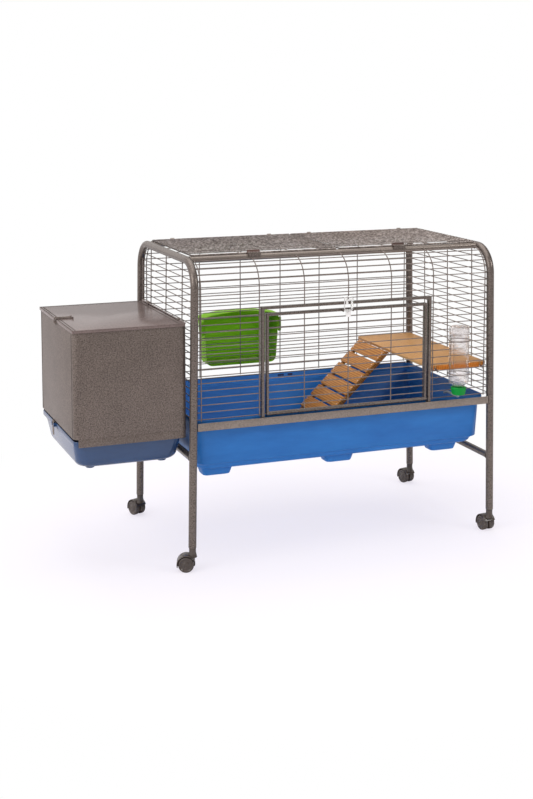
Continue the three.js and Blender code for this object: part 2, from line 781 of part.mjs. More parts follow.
function mainTray() {
  const rimTop = runnerZ + trayRimTop;
  const shoulder = trayDraft / 2;
  const low = shoulder + trayShoulderIn;
  const nearFloor = low + trayDraft / 4;
  const atFloor = low + trayDraft / 2 + trayCorner / 2;
  const wide = 2 * trayCorner;
  const floorBend = trayFloor + trayCorner / 2;
  const shoulderTop = trayShoulder + trayShoulderIn / 2;
  const ledge = runnerZ + trayRimThick;
  const outer = [trayRing(atFloor, trayFloor, wide), trayRing(nearFloor, floorBend, wide),
    trayRing(low, trayShoulder), trayRing(shoulder, shoulderTop), trayRing(0, runnerZ),
    rimRing(runnerZ), rimRing(rimTop)];
  const rimInner = roundedPoints(-rimHalfX + trayRimThick, -rimHalfY + trayRimThick, rimHalfX - trayRimThick,
    rimHalfY - trayRimThick, trayCorner - trayRimThick, trayCornerSteps);
  const inner = [rimInner.map(([x, y]) => [x, y, rimTop]), rimInner.map(([x, y]) => [x, y, ledge]),
    trayRing(trayWall, ledge), trayRing(shoulder + trayWall, shoulderTop),
    trayRing(low + trayWall, trayShoulder), trayRing(nearFloor + trayWall, floorBend, wide),
    trayRing(atFloor + trayWall, trayFloor + trayWall, wide)];
  const footRing = (x, y, spread, z) => roundedPoints(x - trayFootLength / 2 - spread,
    y - trayFootWidth / 2 - spread, x + trayFootLength / 2 + spread, y + trayFootWidth / 2 + spread,
    trayFootWidth / 4, 2).map(([u, v]) => [u, v, z]);
  const feet = trayFootPlaces.flatMap((x) => hands.map((side) => {
    const y = side * (bodyHalfY - trayFootInset - trayFootWidth / 2);
    return solid(loft([footRing(x, y, 0, trayFloor - trayFootHeight),
      footRing(x, y, trayFootTaper, trayFloor + trayWall / 2)]));
  }));
  return weld(solid(loft([...outer, ...inner])), feet);
}

part('main_tray', mainTray(), finishes.bluePlastic);

// Sleeping shelf at the right end, hung by two wire hooks on the front and rear mesh
const shelfThick = 9.5;
const shelfLeft = 300;
const shelfRight = 518;
const shelfHalfDepth = 283;
const shelfCorner = 14;
const hookRadius = 1.5;
const hookInset = 24;
const hookRun = 60;
const hookBend = 3;
const hookRow = 4;
const hookDrop = 9;
const hookHeight = rowHeight(hookRow) + wireHalf + fitGap + hookRadius;
const shelfBottom = hookHeight + hookRadius + fitGap;
const shelfTop = shelfBottom + shelfThick;

const lipDepth = 9;
const lipThick = 12;
const lipNotch = 4;

// The board has a lip under its front and rear edges, notched for the hooks.
function shelfBoard() {
  const shape = outline(roundedPoints(shelfLeft, -shelfHalfDepth, shelfRight, shelfHalfDepth,
    shelfCorner, 3));
  const board = solid(alongZ(shape, shelfBottom, shelfTop));
  const lips = hands.map((side) => {
    const [y0, y1] = [side * shelfHalfDepth, side * (shelfHalfDepth - lipThick)].sort((a, b) => a - b);
    return solid(block(shelfLeft + shelfCorner, y0, shelfBottom - lipDepth, shelfRight - shelfCorner, y1,
      shelfBottom + lipDepth / 2));
  });
  const notches = [shelfLeft + hookInset, shelfRight - hookInset].map((x) => solid(block(x - lipNotch,
    -panelY, shelfBottom - lipDepth - overrun, x + lipNotch, panelY, shelfBottom)));
  return weld(board, lips.map((lip) => cut(lip, notches)));
}

part('platform_board', shelfBoard(), finishes.wood);

function shelfHook(side) {
  const rowY = panelY - wireLayer;
  const rise = rowY - wireHalf;
  const out = rowY + wireHalf + fitGap + hookRadius;
  const half = [[shelfLeft + hookInset, out, hookHeight - hookDrop], [shelfLeft + hookInset, out, hookHeight],
    [shelfLeft + hookInset, rise - hookRun, hookHeight]];
  const mirror = half.map(([x, y, height]) => [shelfLeft + shelfRight - x, y, height]).reverse();
  const corners = [...half, ...mirror].map(([x, y, height]) => [x, side * y, height]);
  return solid(bentRod(corners, hookRadius, rodFacets, hookBend / 2, 1));
}

part('platform_hook_front', shelfHook(-1), finishes.wire);
part('platform_hook_rear', shelfHook(1), finishes.wire);

// Ramp: slats on two side rails, hinged at the edge of the shelf, its foot in the tray
const rampWidth = 220;
const rampNear = 0;
const rampSlope = 0.768;
const rampPitch = 54.5;
const rampSlatWidth = 47;
const rampSlatThick = 7;
const rampRailWidth = 16;
const rampRailThick = 10;
const rampRailInset = 0;
const rampTopGap = 22;
const rampTopX = shelfLeft - rampTopGap;
const rampTopZ = shelfTop + fitGap;
const rampFootGap = 3.6;
const rampAxisBack = 8;
const rampAxisDrop = 12;
const rampRailReach = 3.5;
const rampRodRadius = 2;
const rampKnuckleRadius = 6;
const rampLeafLength = 34;
const rampLeafThick = 2;

const rampDrop = rampTopZ - (trayFloor + trayWall) - rampFootGap;
const rampLength = rampDrop / Math.sin(rampSlope) - rampRailThick - rampSlatThick;
const rampSlats = Math.floor(rampLength / rampPitch);

// Ramp pieces are built lying flat, running along -X from the top edge, then turned down.
function rampPart(name, body, material) {
  part(name, body, material, ramp);
}

const ramp = new THREE.Group();
ramp.position.set(rampTopX, rampNear, rampTopZ);
ramp.rotation.y = -rampSlope;
cage.add(ramp);

// The hinge axis, and the same axis seen along the sloping ramp
const rampAxisX = rampTopX + rampAxisBack;
const rampAxisZ = rampTopZ - rampAxisDrop;
const rampAxisAlong = rampAxisBack * Math.cos(rampSlope) - rampAxisDrop * Math.sin(rampSlope);
const rampAxisUp = -rampAxisBack * Math.sin(rampSlope) - rampAxisDrop * Math.cos(rampSlope);

hands.forEach((side) => {
  const y = rampWidth / 2 + side * (rampWidth / 2 - rampRailInset - rampRailWidth / 2);
  const name = side < 0 ? 'ramp_rail_front' : 'ramp_rail_rear';
  const rail = solid(block(-rampLength, y - rampRailWidth / 2, -rampSlatThick - fitGap - rampRailThick,
    rampRailReach, y + rampRailWidth / 2, -rampSlatThick - fitGap));
  const bore = solid(rodY(rampRodRadius + fitGap, smallSides, y - rampRailWidth, y + rampRailWidth,
    rampAxisAlong, rampAxisUp));
  rampPart(name, cut(rail, bore), finishes.wood);

  const knuckleY0 = y + side * (-rampRailWidth / 2 - fitGap);
  const knuckleY1 = knuckleY0 - side * rampKnuckleRadius * 2;
  const [near, far] = [knuckleY0, knuckleY1].sort((a, b) => a - b);
  const knuckle = solid(rodY(rampKnuckleRadius, tubeSides, near, far, rampAxisX, rampAxisZ));
  const leafTop = shelfBottom - fitGap;
  const leafEnd = rampAxisX + rampLeafLength;
  const leaf = solid(block(rampAxisX, near, leafTop - rampLeafThick, leafEnd, far, leafTop));
  const knuckleBore = solid(rodY(rampRodRadius + fitGap, smallSides, near - overrun, far + overrun, rampAxisX,
    rampAxisZ));
  const hingeName = side < 0 ? 'ramp_hinge_front' : 'ramp_hinge_rear';
  part(hingeName, cut(weld(knuckle, leaf), knuckleBore), finishes.chrome);
});
const rampRodInset = rampRailInset - rampRodRadius;
rampPart('ramp_hinge_rod', solid(rodY(rampRodRadius, smallSides, rampRodInset, rampWidth - rampRodInset,
  rampAxisAlong, rampAxisUp)), finishes.chrome);
for (let slat = 0; slat < rampSlats; slat += 1) {
  const x = -slat * rampPitch;
  const shape = outline(roundedPoints(x - rampSlatWidth, 0, x, rampWidth, rampSlatThick / 2, 2));
  rampPart(`ramp_slat_${slat + 1}`, solid(alongZ(shape, -rampSlatThick, 0)), finishes.wood);
}

// Hay rack: an open-topped green plastic pocket hung outside the rear mesh
const rackWidth = 286;
const rackCentre = -147;
const rackBottom = 512;
const rackSideTop = 688;
const rackArch = 16;
const rackDepth = 74;
const rackWall = 3;
const rackTaper = 12;
const rackCorner = 24;
const rackTabWidth = 9;
const rackTabHeight = 52;
const rackFront = panelY + wireHalf + weldGap;

function rackOutline(inset, open) {
  const half = rackWidth / 2 - inset;
  const low = half - rackTaper;
  const bottom = rackBottom + inset;
  const corner = rackCorner - inset;
  const points = [];
  for (let step = 0; step <= 3; step += 1) {
    const angle = (Math.PI / 2) * (step / 3);
    points.push([low - corner + corner * Math.sin(angle), bottom + corner - corner * Math.cos(angle)]);
  }
  const right = [...points];
  for (let step = 0; step <= 4; step += 1) {
    const share = 1 - step / 4;
    const rise = open ? rackArch + overrun : rackArch * (1 - share * share);
    right.push([half * share, rackSideTop + rise]);
  }
  const left = right.slice(0, -1).map(([x, z]) => [-x, z]).reverse();
  return outline([...right, ...left].map(([x, z]) => [rackCentre + x, z]));
}

function hayRack() {
  const shell = solid(alongY(rackOutline(0, false), rackFront, rackFront + rackDepth));
  const pocketEnd = rackFront + rackDepth - rackWall;
  const pocket = solid(alongY(rackOutline(rackWall, true), rackFront - overrun, pocketEnd));
  const tabTop = rackSideTop - rackTabHeight / 4;
  const tabs = hands.map((side) => {
    const edge = rackCentre + side * (rackWidth / 2 - rackWall);
    const [x0, x1] = [edge, edge + side * (rackTabWidth + rackWall)].sort((a, b) => a - b);
    return solid(block(x0, rackFront, tabTop - rackTabHeight, x1, rackFront + rackWall, tabTop));
  });
  return weld(cut(shell, pocket), tabs);
}

part('hay_rack', hayRack(), finishes.greenPlastic);

// Water bottle: hung upside down outside the front mesh, its spout reaching in
const bottleRadius = 33.5;
const bottleX = 383;
const bottleTop = 723;
const bottleShoulder = 540;
const bottleNeckRadius = 19;
const bottleNeckBottom = 503;
const bottleWall = 1.5;
const bottleDome = 10;
const capRadius = 25;
const capTop = 520;
const capBottom = 495;
const capWall = 3;
const neckGap = 0.4;
const spoutRadius = 4;
const bracketRodRadius = 1.5;
const bottleY = -panelY - wireHalf - weldGap - 2 * bracketRodRadius - fitGap - bottleRadius;
const bottleSides = 16;

const bottle = new THREE.Group();
bottle.position.set(bottleX, bottleY, 0);
cage.add(bottle);

const neckBase = capTop + bottleDome;
const bottleInner = bottleRadius - bottleWall;
const neckInner = bottleNeckRadius - bottleWall;
const domeStart = bottleTop - bottleDome;
const bottleProfile = [[0, bottleTop], [bottleRadius - bottleDome, bottleTop], [bottleRadius, domeStart],
  [bottleRadius, bottleShoulder], [bottleNeckRadius, neckBase], [bottleNeckRadius, bottleNeckBottom],
  [neckInner, bottleNeckBottom], [neckInner, neckBase + bottleWall],
  [bottleInner, bottleShoulder + bottleWall], [bottleInner, domeStart - bottleWall],
  [bottleInner - bottleDome, bottleTop - bottleWall], [0, bottleTop - bottleWall]];
part('bottle_body', solid(revolve(bottleProfile, bottleSides)), finishes.clear, bottle);

const capBore = bottleNeckRadius + neckGap;
const capFloor = bottleNeckBottom - fitGap;
const spoutBore = spoutRadius + neckGap;
const capProfile = [[spoutBore, capBottom], [capRadius - capWall / 2, capBottom],
  [capRadius, capBottom + capWall / 2], [capRadius, capTop], [capBore, capTop], [capBore, capFloor],
  [spoutBore, capFloor], [spoutBore, capBottom]];
part('bottle_cap', solid(revolve(capProfile, bottleSides)), finishes.capGreen, bottle);

const spoutBend = 6;
const spoutRunZ = capBottom - spoutBend - 2;
const spoutInside = 34;
const spoutTip = 24;
const spoutTipDrop = 8;
const spoutStart = capFloor - capWall / 3;
const spoutPath = [[0, 0, spoutStart], [0, 0, spoutRunZ], [0, spoutInside - bottleY - panelY, spoutRunZ],
  [0, spoutInside + spoutTip - bottleY - panelY, spoutRunZ - spoutTipDrop]];
const spout = solid(bentRod(spoutPath, spoutRadius, smallSides, spoutBend, 3));
part('bottle_spout', spout, finishes.white, bottle);

// Bottle bracket: two wire rings on a spine, hooked over rows of the front mesh
const lowRingHeight = 566;
const highRingHeight = 676;
const ringHeights = [lowRingHeight, highRingHeight];
const bracketHookRow = 9;

function bottleBracket() {
  const ringRadius = bottleRadius + fitGap + bracketRodRadius;
  const spineY = ringRadius;
  const ring = new THREE.TorusGeometry(ringRadius, bracketRodRadius, rodFacets, bottleSides);
  const rings = ringHeights.map((z) => solid(ring.clone().translate(0, 0, z)));
  const rowZ = rowHeight(bracketHookRow);
  const over = rowZ + wireHalf + fitGap + bracketRodRadius;
  const behind = -panelY + wireLayer + wireHalf + fitGap + bracketRodRadius - bottleY;
  const spine = bentRod([[0, spineY, ringHeights[0] - hookDrop], [0, spineY, over], [0, behind, over],
    [0, behind, over - hookDrop]], bracketRodRadius, rodFacets, hookBend / 2, 1);
  return weld(rings, solid(spine));
}

part('bottle_bracket', bottleBracket(), finishes.wire, bottle);

// Castors: a hood with a stem in the bore of the leg, and a pair of wheels on one axle
const wheelRadius = 25;
const wheelWidth = 17;
const wheelEdge = 3;
const wheelDish = 2;
const wheelHub = 9;
const wheelRim = 19;
const wheelSides = 16;
const castorTrail = 20;
const webHalf = 3.5;
const webGap = 0.6;
const hoodGap = 2.5;
const hoodWall = 2.5;
const hoodHalf = 21;
const hoodFrom = -0.3;
const hoodTo = 2.75;
const hoodSteps = 8;
const collarRadius = 11;
const stemRadius = 5.2;
const stemLength = 34;
const axleRadius = 3;
const axleGap = 0.35;

function arcPoints(radius, from, to, steps) {
  const points = [];
  for (let step = 0; step <= steps; step += 1) {
    const angle = from + ((to - from) * step) / steps;
    points.push([castorTrail + radius * Math.cos(angle), wheelRadius + radius * Math.sin(angle)]);
  }
  return points;
}

function castorHood() {
  const inner = wheelRadius + hoodGap;
  const outer = inner + hoodWall;
  const web = solid(alongY(outline(arcPoints(inner + hoodWall / 2, hoodFrom, Math.PI - hoodFrom, hoodSteps)),
    -webHalf, webHalf));
  const cover = solid(alongY(outline([...arcPoints(outer, hoodFrom, hoodTo, hoodSteps),
    ...arcPoints(inner, hoodFrom, hoodTo, hoodSteps).reverse()]), -hoodHalf, hoodHalf));
  const wheelSpace = solid(rodY(inner + hoodWall / 2, tubeSides, -2 * hoodHalf, 2 * hoodHalf, castorTrail,
    wheelRadius));
  const collar = solid(rodZ(collarRadius, tubeSides, wheelRadius, legFootHeight - fitGap, 0, 0));
  const stem = solid(rodZ(stemRadius, smallSides, legFootHeight - overrun, legFootHeight + stemLength, 0, 0));
  const bore = solid(rodY(axleRadius + axleGap, smallSides, -2 * webHalf, 2 * webHalf, castorTrail,
    wheelRadius));
  return cut(weld(cut(collar, wheelSpace), web, cover, stem), bore);
}

// The wheel's flats touch the floor, so its corners stand a little further out.
function castorWheels() {
  const reach = wheelRadius / Math.cos(Math.PI / wheelSides);
  const inside = webHalf + webGap;
  const outside = inside + wheelWidth;
  const profile = [[0, inside], [reach - wheelEdge, inside], [reach, inside + wheelEdge],
    [reach, outside - wheelEdge], [reach - wheelEdge, outside], [wheelRim, outside],
    [wheelRim - wheelDish, outside - wheelDish], [wheelHub + wheelDish, outside - wheelDish],
    [wheelHub, outside], [0, outside]];
  const wheel = (side) => solid(revolve(profile, wheelSides).rotateZ(Math.PI / wheelSides)
    .rotateX((side * Math.PI) / 2).translate(castorTrail, 0, wheelRadius));
  const axle = solid(rodY(axleRadius, smallSides, -outside + wheelDish, outside - wheelDish, castorTrail,
    wheelRadius));
  return weld(wheel(1), wheel(-1), axle);
}

// The castors have trailed behind the last push, each at its own angle, in radians from +X.
const frontLeftHeading = 2.8;
const frontRightHeading = 1.68;
const rearLeftHeading = 1.95;
const rearRightHeading = 1.8;
const castorX = hoopReach(legFootHeight + stemLength / 2);
const castors = [
  { name: 'front_left', x: -castorX, y: -panelY, heading: frontLeftHeading },
  { name: 'front_right', x: castorX, y: -panelY, heading: frontRightHeading },
  { name: 'rear_left', x: -castorX, y: panelY, heading: rearLeftHeading },
  { name: 'rear_right', x: castorX, y: panelY, heading: rearRightHeading },
];
castors.forEach((castor) => {
  const group = new THREE.Group();
  group.position.set(castor.x, castor.y, 0);
  group.rotation.z = castor.heading;
  cage.add(group);
  part(`castor_hood_${castor.name}`, castorHood(), finishes.castor, group);
  part(`castor_wheels_${castor.name}`, castorWheels(), finishes.castor, group);
});

// Nest box: four sheet panels hung on the left hoop, a hinged lid and a drawer tray below
const sheetThick = 1.5;
const sheetBend = 16;
const nestReturn = 20;
const nestLedge = 16;
const nestLidGap = 0.5;
const nestX1 = -hoopX - tubeRadius - nestRightGap - sheetThick / 2;
const nestX0 = nestX1 - nestWidth;
const nestY1 = nestRear;
const nestY0 = nestRear - nestDepth;
const nestPanelTop = nestTop - sheetThick - nestLidGap;

// A sheet bent to a plan: its middle line runs through the corners, with rounded bends.
function bentSheet(corners, z0, z1) {
  const stations = bentStations(corners.map(([x, y]) => [x, y, 0]), sheetBend, 4);
  const half = sheetThick / 2;
  const edge = (side) => stations.map(({ point, direction }) => [point.x - side * direction.y * half,
    point.y + side * direction.x * half]);
  return solid(alongZ(outline([...edge(1), ...edge(-1).reverse()]), z0, z1));
}

function nestSidePanel(side) {
  const y = side > 0 ? nestY1 : nestY0;
  const fold = y - side * nestReturn;
  const corners = [[nestX0, fold], [nestX0, y], [nestX1, y], [nestX1, fold]];
  const sheet = bentSheet(corners, nestFrontBottom, nestPanelTop);
  const slot = solid(block(nestX0 - overrun, Math.min(y - side * sheetThick, y - side * 2 * nestReturn),
    nestFrontBottom - overrun, nestX0 + nestReturn,
    Math.max(y - side * sheetThick, y - side * 2 * nestReturn), nestLeftBottom));
  const corner = nestX0 + sheetBend;
  const ledgeEnd = nestX1 - sheetBend;
  const [ledgeY0, ledgeY1] = [y, y - side * nestLedge].sort((a, b) => a - b);
  const ledge = solid(block(corner, ledgeY0, nestFrontBottom, ledgeEnd, ledgeY1,
    nestFrontBottom + sheetThick));
  return weld(cut(sheet, slot), ledge);
}

part('nest_front_panel', nestSidePanel(-1), finishes.sheet);
part('nest_rear_panel', nestSidePanel(1), finishes.sheet);

const nestSeamGap = 0.4;
const nestFlatY0 = nestY0 + nestReturn + nestSeamGap;
const nestFlatY1 = nestY1 - nestReturn - nestSeamGap;
const clipY = -12;
part('nest_left_panel', solid(block(nestX0 - sheetThick / 2, nestFlatY0, nestLeftBottom,
  nestX0 + sheetThick / 2, nestFlatY1, nestPanelTop)), finishes.sheet);

// The right panel has the entrance, two hooks over a row of the end mesh, and the lid's eyes.
const entranceWidth = 170;
const entranceBottom = 489;
const entranceTop = 694;
const nestHookRow = 11;
const nestHookWidth = 26;
const nestHookDrop = 12;
const nestHookPlace = 140;
const nestEyeRadius = 5.5;
const nestEyeLength = 14;
const nestEyeInset = 64;
const nestRodRadius = 2.5;
const nestRodGap = 0.5;
const nestAxisX = nestX1 - sheetThick / 2 - nestEyeRadius + sheetThick;
const nestAxisZ = nestTop + nestRodRadius - sheetThick;
const nestEyePlaces = [nestY0 + nestEyeInset, nestY1 - nestEyeInset];

function entranceShape() {
  const half = entranceWidth / 2;
  const shape = new THREE.Shape();
  shape.moveTo(-half, entranceBottom);
  shape.lineTo(half, entranceBottom);
  shape.lineTo(half, entranceTop - half);
  shape.absarc(0, entranceTop - half, half, 0, Math.PI, false);
  return shape;
}

function nestRightPanel() {
  const plate = solid(block(nestX1 - sheetThick / 2, nestFlatY0, nestFrontBottom, nestX1 + sheetThick / 2,
    nestFlatY1, nestPanelTop));
  const entrance = solid(alongX(entranceShape(), nestX1 - overrun, nestX1 + overrun));
  const hookUnder = rowHeight(nestHookRow) + wireHalf + fitGap;
  const hookFar = -hoopReach(hookUnder) + wireLayer + wireHalf + 2 * fitGap;
  const hookHalf = nestHookWidth / 2;
  const hookEnd = hookFar + sheetThick;
  const hooks = [-nestHookPlace, nestHookPlace].map((y) => [
    block(nestX1 - sheetThick / 4, y - hookHalf, hookUnder, hookEnd, y + hookHalf, hookUnder + sheetThick),
    block(hookFar, y - hookHalf, hookUnder - nestHookDrop, hookEnd, y + hookHalf,
      hookUnder + sheetThick / 2)].map(solid));
  const eyes = nestEyePlaces.map((y) => [
    solid(rodY(nestEyeRadius, tubeSides, y - nestEyeLength / 2, y + nestEyeLength / 2, nestAxisX, nestAxisZ)),
    solid(block(nestAxisX, y - nestEyeLength / 2, nestPanelTop - overrun, nestX1 + sheetThick / 2,
      y + nestEyeLength / 2, nestAxisZ))]);
  const bore = solid(rodY(nestRodRadius + nestRodGap, smallSides, nestY0, nestY1, nestAxisX, nestAxisZ));
  return cut(weld(plate, hooks.flat(), eyes.flat()), entrance, bore);
}

part('nest_right_panel', nestRightPanel(), finishes.sheet);

// Nest lid: a sheet with folded edges and a hinge rod along its right side
const lidOverhang = 2;
const lidFold = 9;
const lidEyeClear = 1;
const nestLatchY = -60;
const nestLatchHalf = 9;
const nestLatchRod = 1.5;
const nestLatchLength = 52;
const nestLatchDrop = 18;
const nestLatchGap = 0.6;
const nestEarThick = 2.5;
const nestEarHalf = 3;

const nestLidX0 = nestX0 - sheetThick / 2 - lidOverhang;
const nestLidY0 = nestY0 - sheetThick / 2 - lidOverhang;
const nestLidY1 = nestY1 + sheetThick / 2 + lidOverhang;
const nestLatchX = nestLidX0 + nestLatchLength;
const nestLatchZ = nestTop + nestLatchGap + nestLatchRod;

function nestLid() {
  const plate = solid(block(nestLidX0, nestLidY0, nestTop - sheetThick, nestAxisX, nestLidY1, nestTop));
  const low = nestTop - lidFold;
  const [inX, inY0, inY1] = [nestLidX0 + sheetThick, nestLidY0 + sheetThick, nestLidY1 - sheetThick];
  const folds = solid(alongZ(outline([[nestLidX0, nestLidY0], [nestAxisX, nestLidY0], [nestAxisX, inY0],
    [inX, inY0], [inX, inY1], [nestAxisX, inY1], [nestAxisX, nestLidY1], [nestLidX0, nestLidY1]]),
  low, nestTop));
  const clear = nestEyeLength / 2 + lidEyeClear;
  const notches = nestEyePlaces.map((y) => solid(block(nestAxisX - nestEyeRadius - lidEyeClear, y - clear,
    nestTop - lidFold, nestAxisX + overrun, y + clear, nestTop + nestEyeRadius)));
  const rod = solid(rodY(nestRodRadius, smallSides, nestLidY0, nestLidY1, nestAxisX, nestAxisZ));
  const ears = hands.map((side) => {
    const y = nestLatchY + side * (nestLatchHalf + nestLatchRod + fitGap + nestEarThick / 2);
    return solid(block(nestLatchX - nestEarHalf, y - nestEarThick / 2, nestTop - sheetThick / 2,
      nestLatchX + nestEarHalf, y + nestEarThick / 2, nestLatchZ + nestEarHalf));
  });
  const earBore = solid(rodY(nestLatchRod + latchPinGap, smallSides, nestLatchY - 2 * nestLatchHalf,
    nestLatchY + 2 * nestLatchHalf, nestLatchX, nestLatchZ));
  return weld(cut(weld(plate, folds, ears), notches, earBore), rod);
}

const nestLidGroup = new THREE.Group();
cage.add(nestLidGroup);
part('nest_lid', nestLid(), finishes.lid, nestLidGroup);

// Lid latch: a wire bail that lies on the lid and clips down over its left fold
function nestLatch() {
  const x = nestLidX0 - nestLatchGap - nestLatchRod;
  const low = nestLatchZ - nestLatchDrop;
  const [y0, y1] = [nestLatchY - nestLatchHalf, nestLatchY + nestLatchHalf];
  const corners = [[nestLatchX, y0, nestLatchZ], [x, y0, nestLatchZ], [x, y0, low], [x, y1, low],
    [x, y1, nestLatchZ], [nestLatchX, y1, nestLatchZ]];
  const pinEnd = nestLatchHalf + nestLatchRod + fitGap + nestEarThick;
  const pin = solid(rodY(nestLatchRod, smallSides, nestLatchY - pinEnd, nestLatchY + pinEnd, nestLatchX,
    nestLatchZ));
  return weld(solid(bentRod(corners, nestLatchRod, smallSides, 2 * nestLatchRod, 2)), pin);
}

part('nest_latch', nestLatch(), finishes.chrome, nestLidGroup);

// Nest tray: a deep drawer whose rim runs on the ledges of the front and back panels
const nestTrayBottom = 350;
const nestTrayWall = 2.5;
const nestTrayInset = 5;
const nestTrayDraft = 14;
const nestTrayCorner = 30;
const nestRimThick = 2.5;
const nestRimHeight = 16;
const nestRimGap = 1.5;
const nestRimReach = 16;
const nestFootHeight = 5;
const nestFootRadius = 14;
const nestFootInset = 62;
const nestRimZ = nestFrontBottom + sheetThick + fitGap;
const nestTrayX0 = nestX0 + sheetThick / 2;
const nestTrayX1 = nestX1 - sheetThick / 2 - nestRimGap;
const nestTrayY0 = nestY0 + sheetThick / 2 + nestRimGap;
const nestTrayY1 = nestY1 - sheetThick / 2 - nestRimGap;

// Rings of the tray: across by the inset from the rim, and deeper on the two runner sides.
function nestRing(inset, runnerInset, z, corner) {
  const points = roundedPoints(nestTrayX0 + inset, nestTrayY0 + runnerInset, nestTrayX1 - inset,
    nestTrayY1 - runnerInset, corner, trayCornerSteps);
  return points.map(([x, y]) => [x, y, z]);
}

const clipHalf = 11;
const clipRod = 2;
const clipAxisX = nestTrayX0 - 2 * clipRod;
const clipAxisZ = nestRimZ + nestRimHeight / 2;
const clipThick = 1.5;
const clipTopGap = 0.6;
const clipLip = 6;
const clipLipThick = 3.4;
const clipDrop = 32;
const clipEarThick = 3;

function nestTray() {
  const under = nestLedge - nestRimGap + fitGap;
  const top = nestRimZ + nestRimHeight;
  const bottomInset = nestTrayInset + nestTrayDraft;
  const round = nestTrayCorner / 2;
  const rings = [
    nestRing(bottomInset + round / 2, under + nestTrayDraft + round / 2, nestTrayBottom, nestTrayCorner),
    nestRing(bottomInset, under + nestTrayDraft, nestTrayBottom + round, nestTrayCorner),
    nestRing(nestTrayInset, under, nestRimZ, nestTrayCorner),
    nestRing(0, 0, nestRimZ, nestRimReach),
    nestRing(0, 0, top, nestRimReach),
    nestRing(nestRimThick, nestRimThick, top, nestRimReach - nestRimThick),
    nestRing(nestRimThick, nestRimThick, nestRimZ + nestRimThick, nestRimReach - nestRimThick),
    nestRing(nestTrayInset + nestTrayWall, under + nestTrayWall, nestRimZ + nestRimThick,
      nestTrayCorner - nestTrayWall),
    nestRing(bottomInset + nestTrayWall, under + nestTrayDraft + nestTrayWall, nestTrayBottom + round,
      nestTrayCorner - nestTrayWall),
    nestRing(bottomInset + round / 2 + nestTrayWall, under + nestTrayDraft + round / 2 + nestTrayWall,
      nestTrayBottom + nestTrayWall, nestTrayCorner - nestTrayWall),
  ];
  const footX = [nestTrayX0 + nestFootInset, nestTrayX1 - nestFootInset];
  const footY = [nestTrayY0 + nestFootInset, nestTrayY1 - nestFootInset];
  const feet = footX.flatMap((x) => footY.map((y) => solid(rodZ(nestFootRadius, smallSides,
    nestTrayBottom - nestFootHeight, nestTrayBottom + nestTrayWall / 2, x, y))));
  const ears = hands.map((side) => {
    const y = clipY + side * (clipHalf + fitGap + clipEarThick / 2);
    return solid(block(clipAxisX - 2 * clipRod, y - clipEarThick / 2, clipAxisZ - 2 * clipRod,
      nestTrayX0 + nestRimThick / 2, y + clipEarThick / 2, clipAxisZ + nestRimHeight / 2));
  });
  const bore = solid(rodY(clipRod + latchPinGap, smallSides, clipY - 2 * clipHalf, clipY + 2 * clipHalf,
    clipAxisX, clipAxisZ));
  return cut(weld(solid(loft(rings)), feet, ears), bore);
}

const nestDrawer = new THREE.Group();
cage.add(nestDrawer);
part('nest_tray', nestTray(), finishes.darkBluePlastic, nestDrawer);

function nestTrayClip() {
  const pinEnd = clipHalf + fitGap + clipEarThick;
  const pin = solid(rodY(clipRod, smallSides, clipY - pinEnd, clipY + pinEnd, clipAxisX, clipAxisZ));
  const plateX = clipAxisX - clipRod;
  const top = nestLeftBottom - clipTopGap;
  const plate = solid(block(plateX, clipY - clipHalf, clipAxisZ - clipDrop, plateX + clipThick,
    clipY + clipHalf, top));
  const lip = solid(block(plateX, clipY - clipHalf, top - clipLipThick, plateX + clipLip, clipY + clipHalf,
    top));
  return weld(pin, plate, lip);
}

part('nest_tray_clip', nestTrayClip(), finishes.chrome, nestDrawer);

// Stand the whole cage with its outline centred over the origin.
cage.updateMatrixWorld(true);
const box = new THREE.Box3().setFromObject(cage, true);
const middle = box.getCenter(new THREE.Vector3());
cage.position.set(-middle.x, -middle.y, -box.min.z);

export default cage;
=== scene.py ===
# Looks of a rabbit cage on a castor stand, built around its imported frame. Sizes are in
# millimetres in the stand's own frame, whose origin is on the floor between the four legs.

import json
import logging
import math
from dataclasses import dataclass
from enum import Enum
from typing import Iterable, Sequence

import bmesh
import bpy
import numpy as np
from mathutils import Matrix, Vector

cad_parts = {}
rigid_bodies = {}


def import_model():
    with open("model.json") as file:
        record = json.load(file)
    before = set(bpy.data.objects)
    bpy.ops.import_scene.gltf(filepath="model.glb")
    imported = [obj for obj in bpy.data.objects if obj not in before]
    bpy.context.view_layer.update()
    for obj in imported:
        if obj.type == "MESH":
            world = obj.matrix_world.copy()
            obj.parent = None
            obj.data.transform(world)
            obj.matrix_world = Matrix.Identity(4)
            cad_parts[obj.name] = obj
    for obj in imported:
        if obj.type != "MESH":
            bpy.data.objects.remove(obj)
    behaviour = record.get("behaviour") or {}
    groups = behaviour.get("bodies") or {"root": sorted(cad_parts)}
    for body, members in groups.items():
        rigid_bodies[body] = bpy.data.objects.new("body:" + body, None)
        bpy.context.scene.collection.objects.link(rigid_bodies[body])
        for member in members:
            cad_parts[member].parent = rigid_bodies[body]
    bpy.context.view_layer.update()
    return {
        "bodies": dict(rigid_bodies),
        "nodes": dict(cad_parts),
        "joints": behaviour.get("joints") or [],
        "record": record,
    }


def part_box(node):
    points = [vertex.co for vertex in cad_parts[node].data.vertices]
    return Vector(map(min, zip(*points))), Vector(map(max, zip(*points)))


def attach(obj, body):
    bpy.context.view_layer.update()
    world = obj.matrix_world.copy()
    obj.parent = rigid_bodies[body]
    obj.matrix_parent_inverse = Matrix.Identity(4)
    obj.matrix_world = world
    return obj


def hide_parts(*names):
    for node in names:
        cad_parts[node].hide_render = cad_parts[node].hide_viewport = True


log = logging.getLogger("rabbit_cage")
MM = 0.001
SIDES = (-1, 1)
NAMED_ENDS = (("left", -1), ("right", 1))
NAMED_FACES = (("front", -1), ("rear", 1))
Points = np.ndarray
Places = Sequence[Sequence[float]]
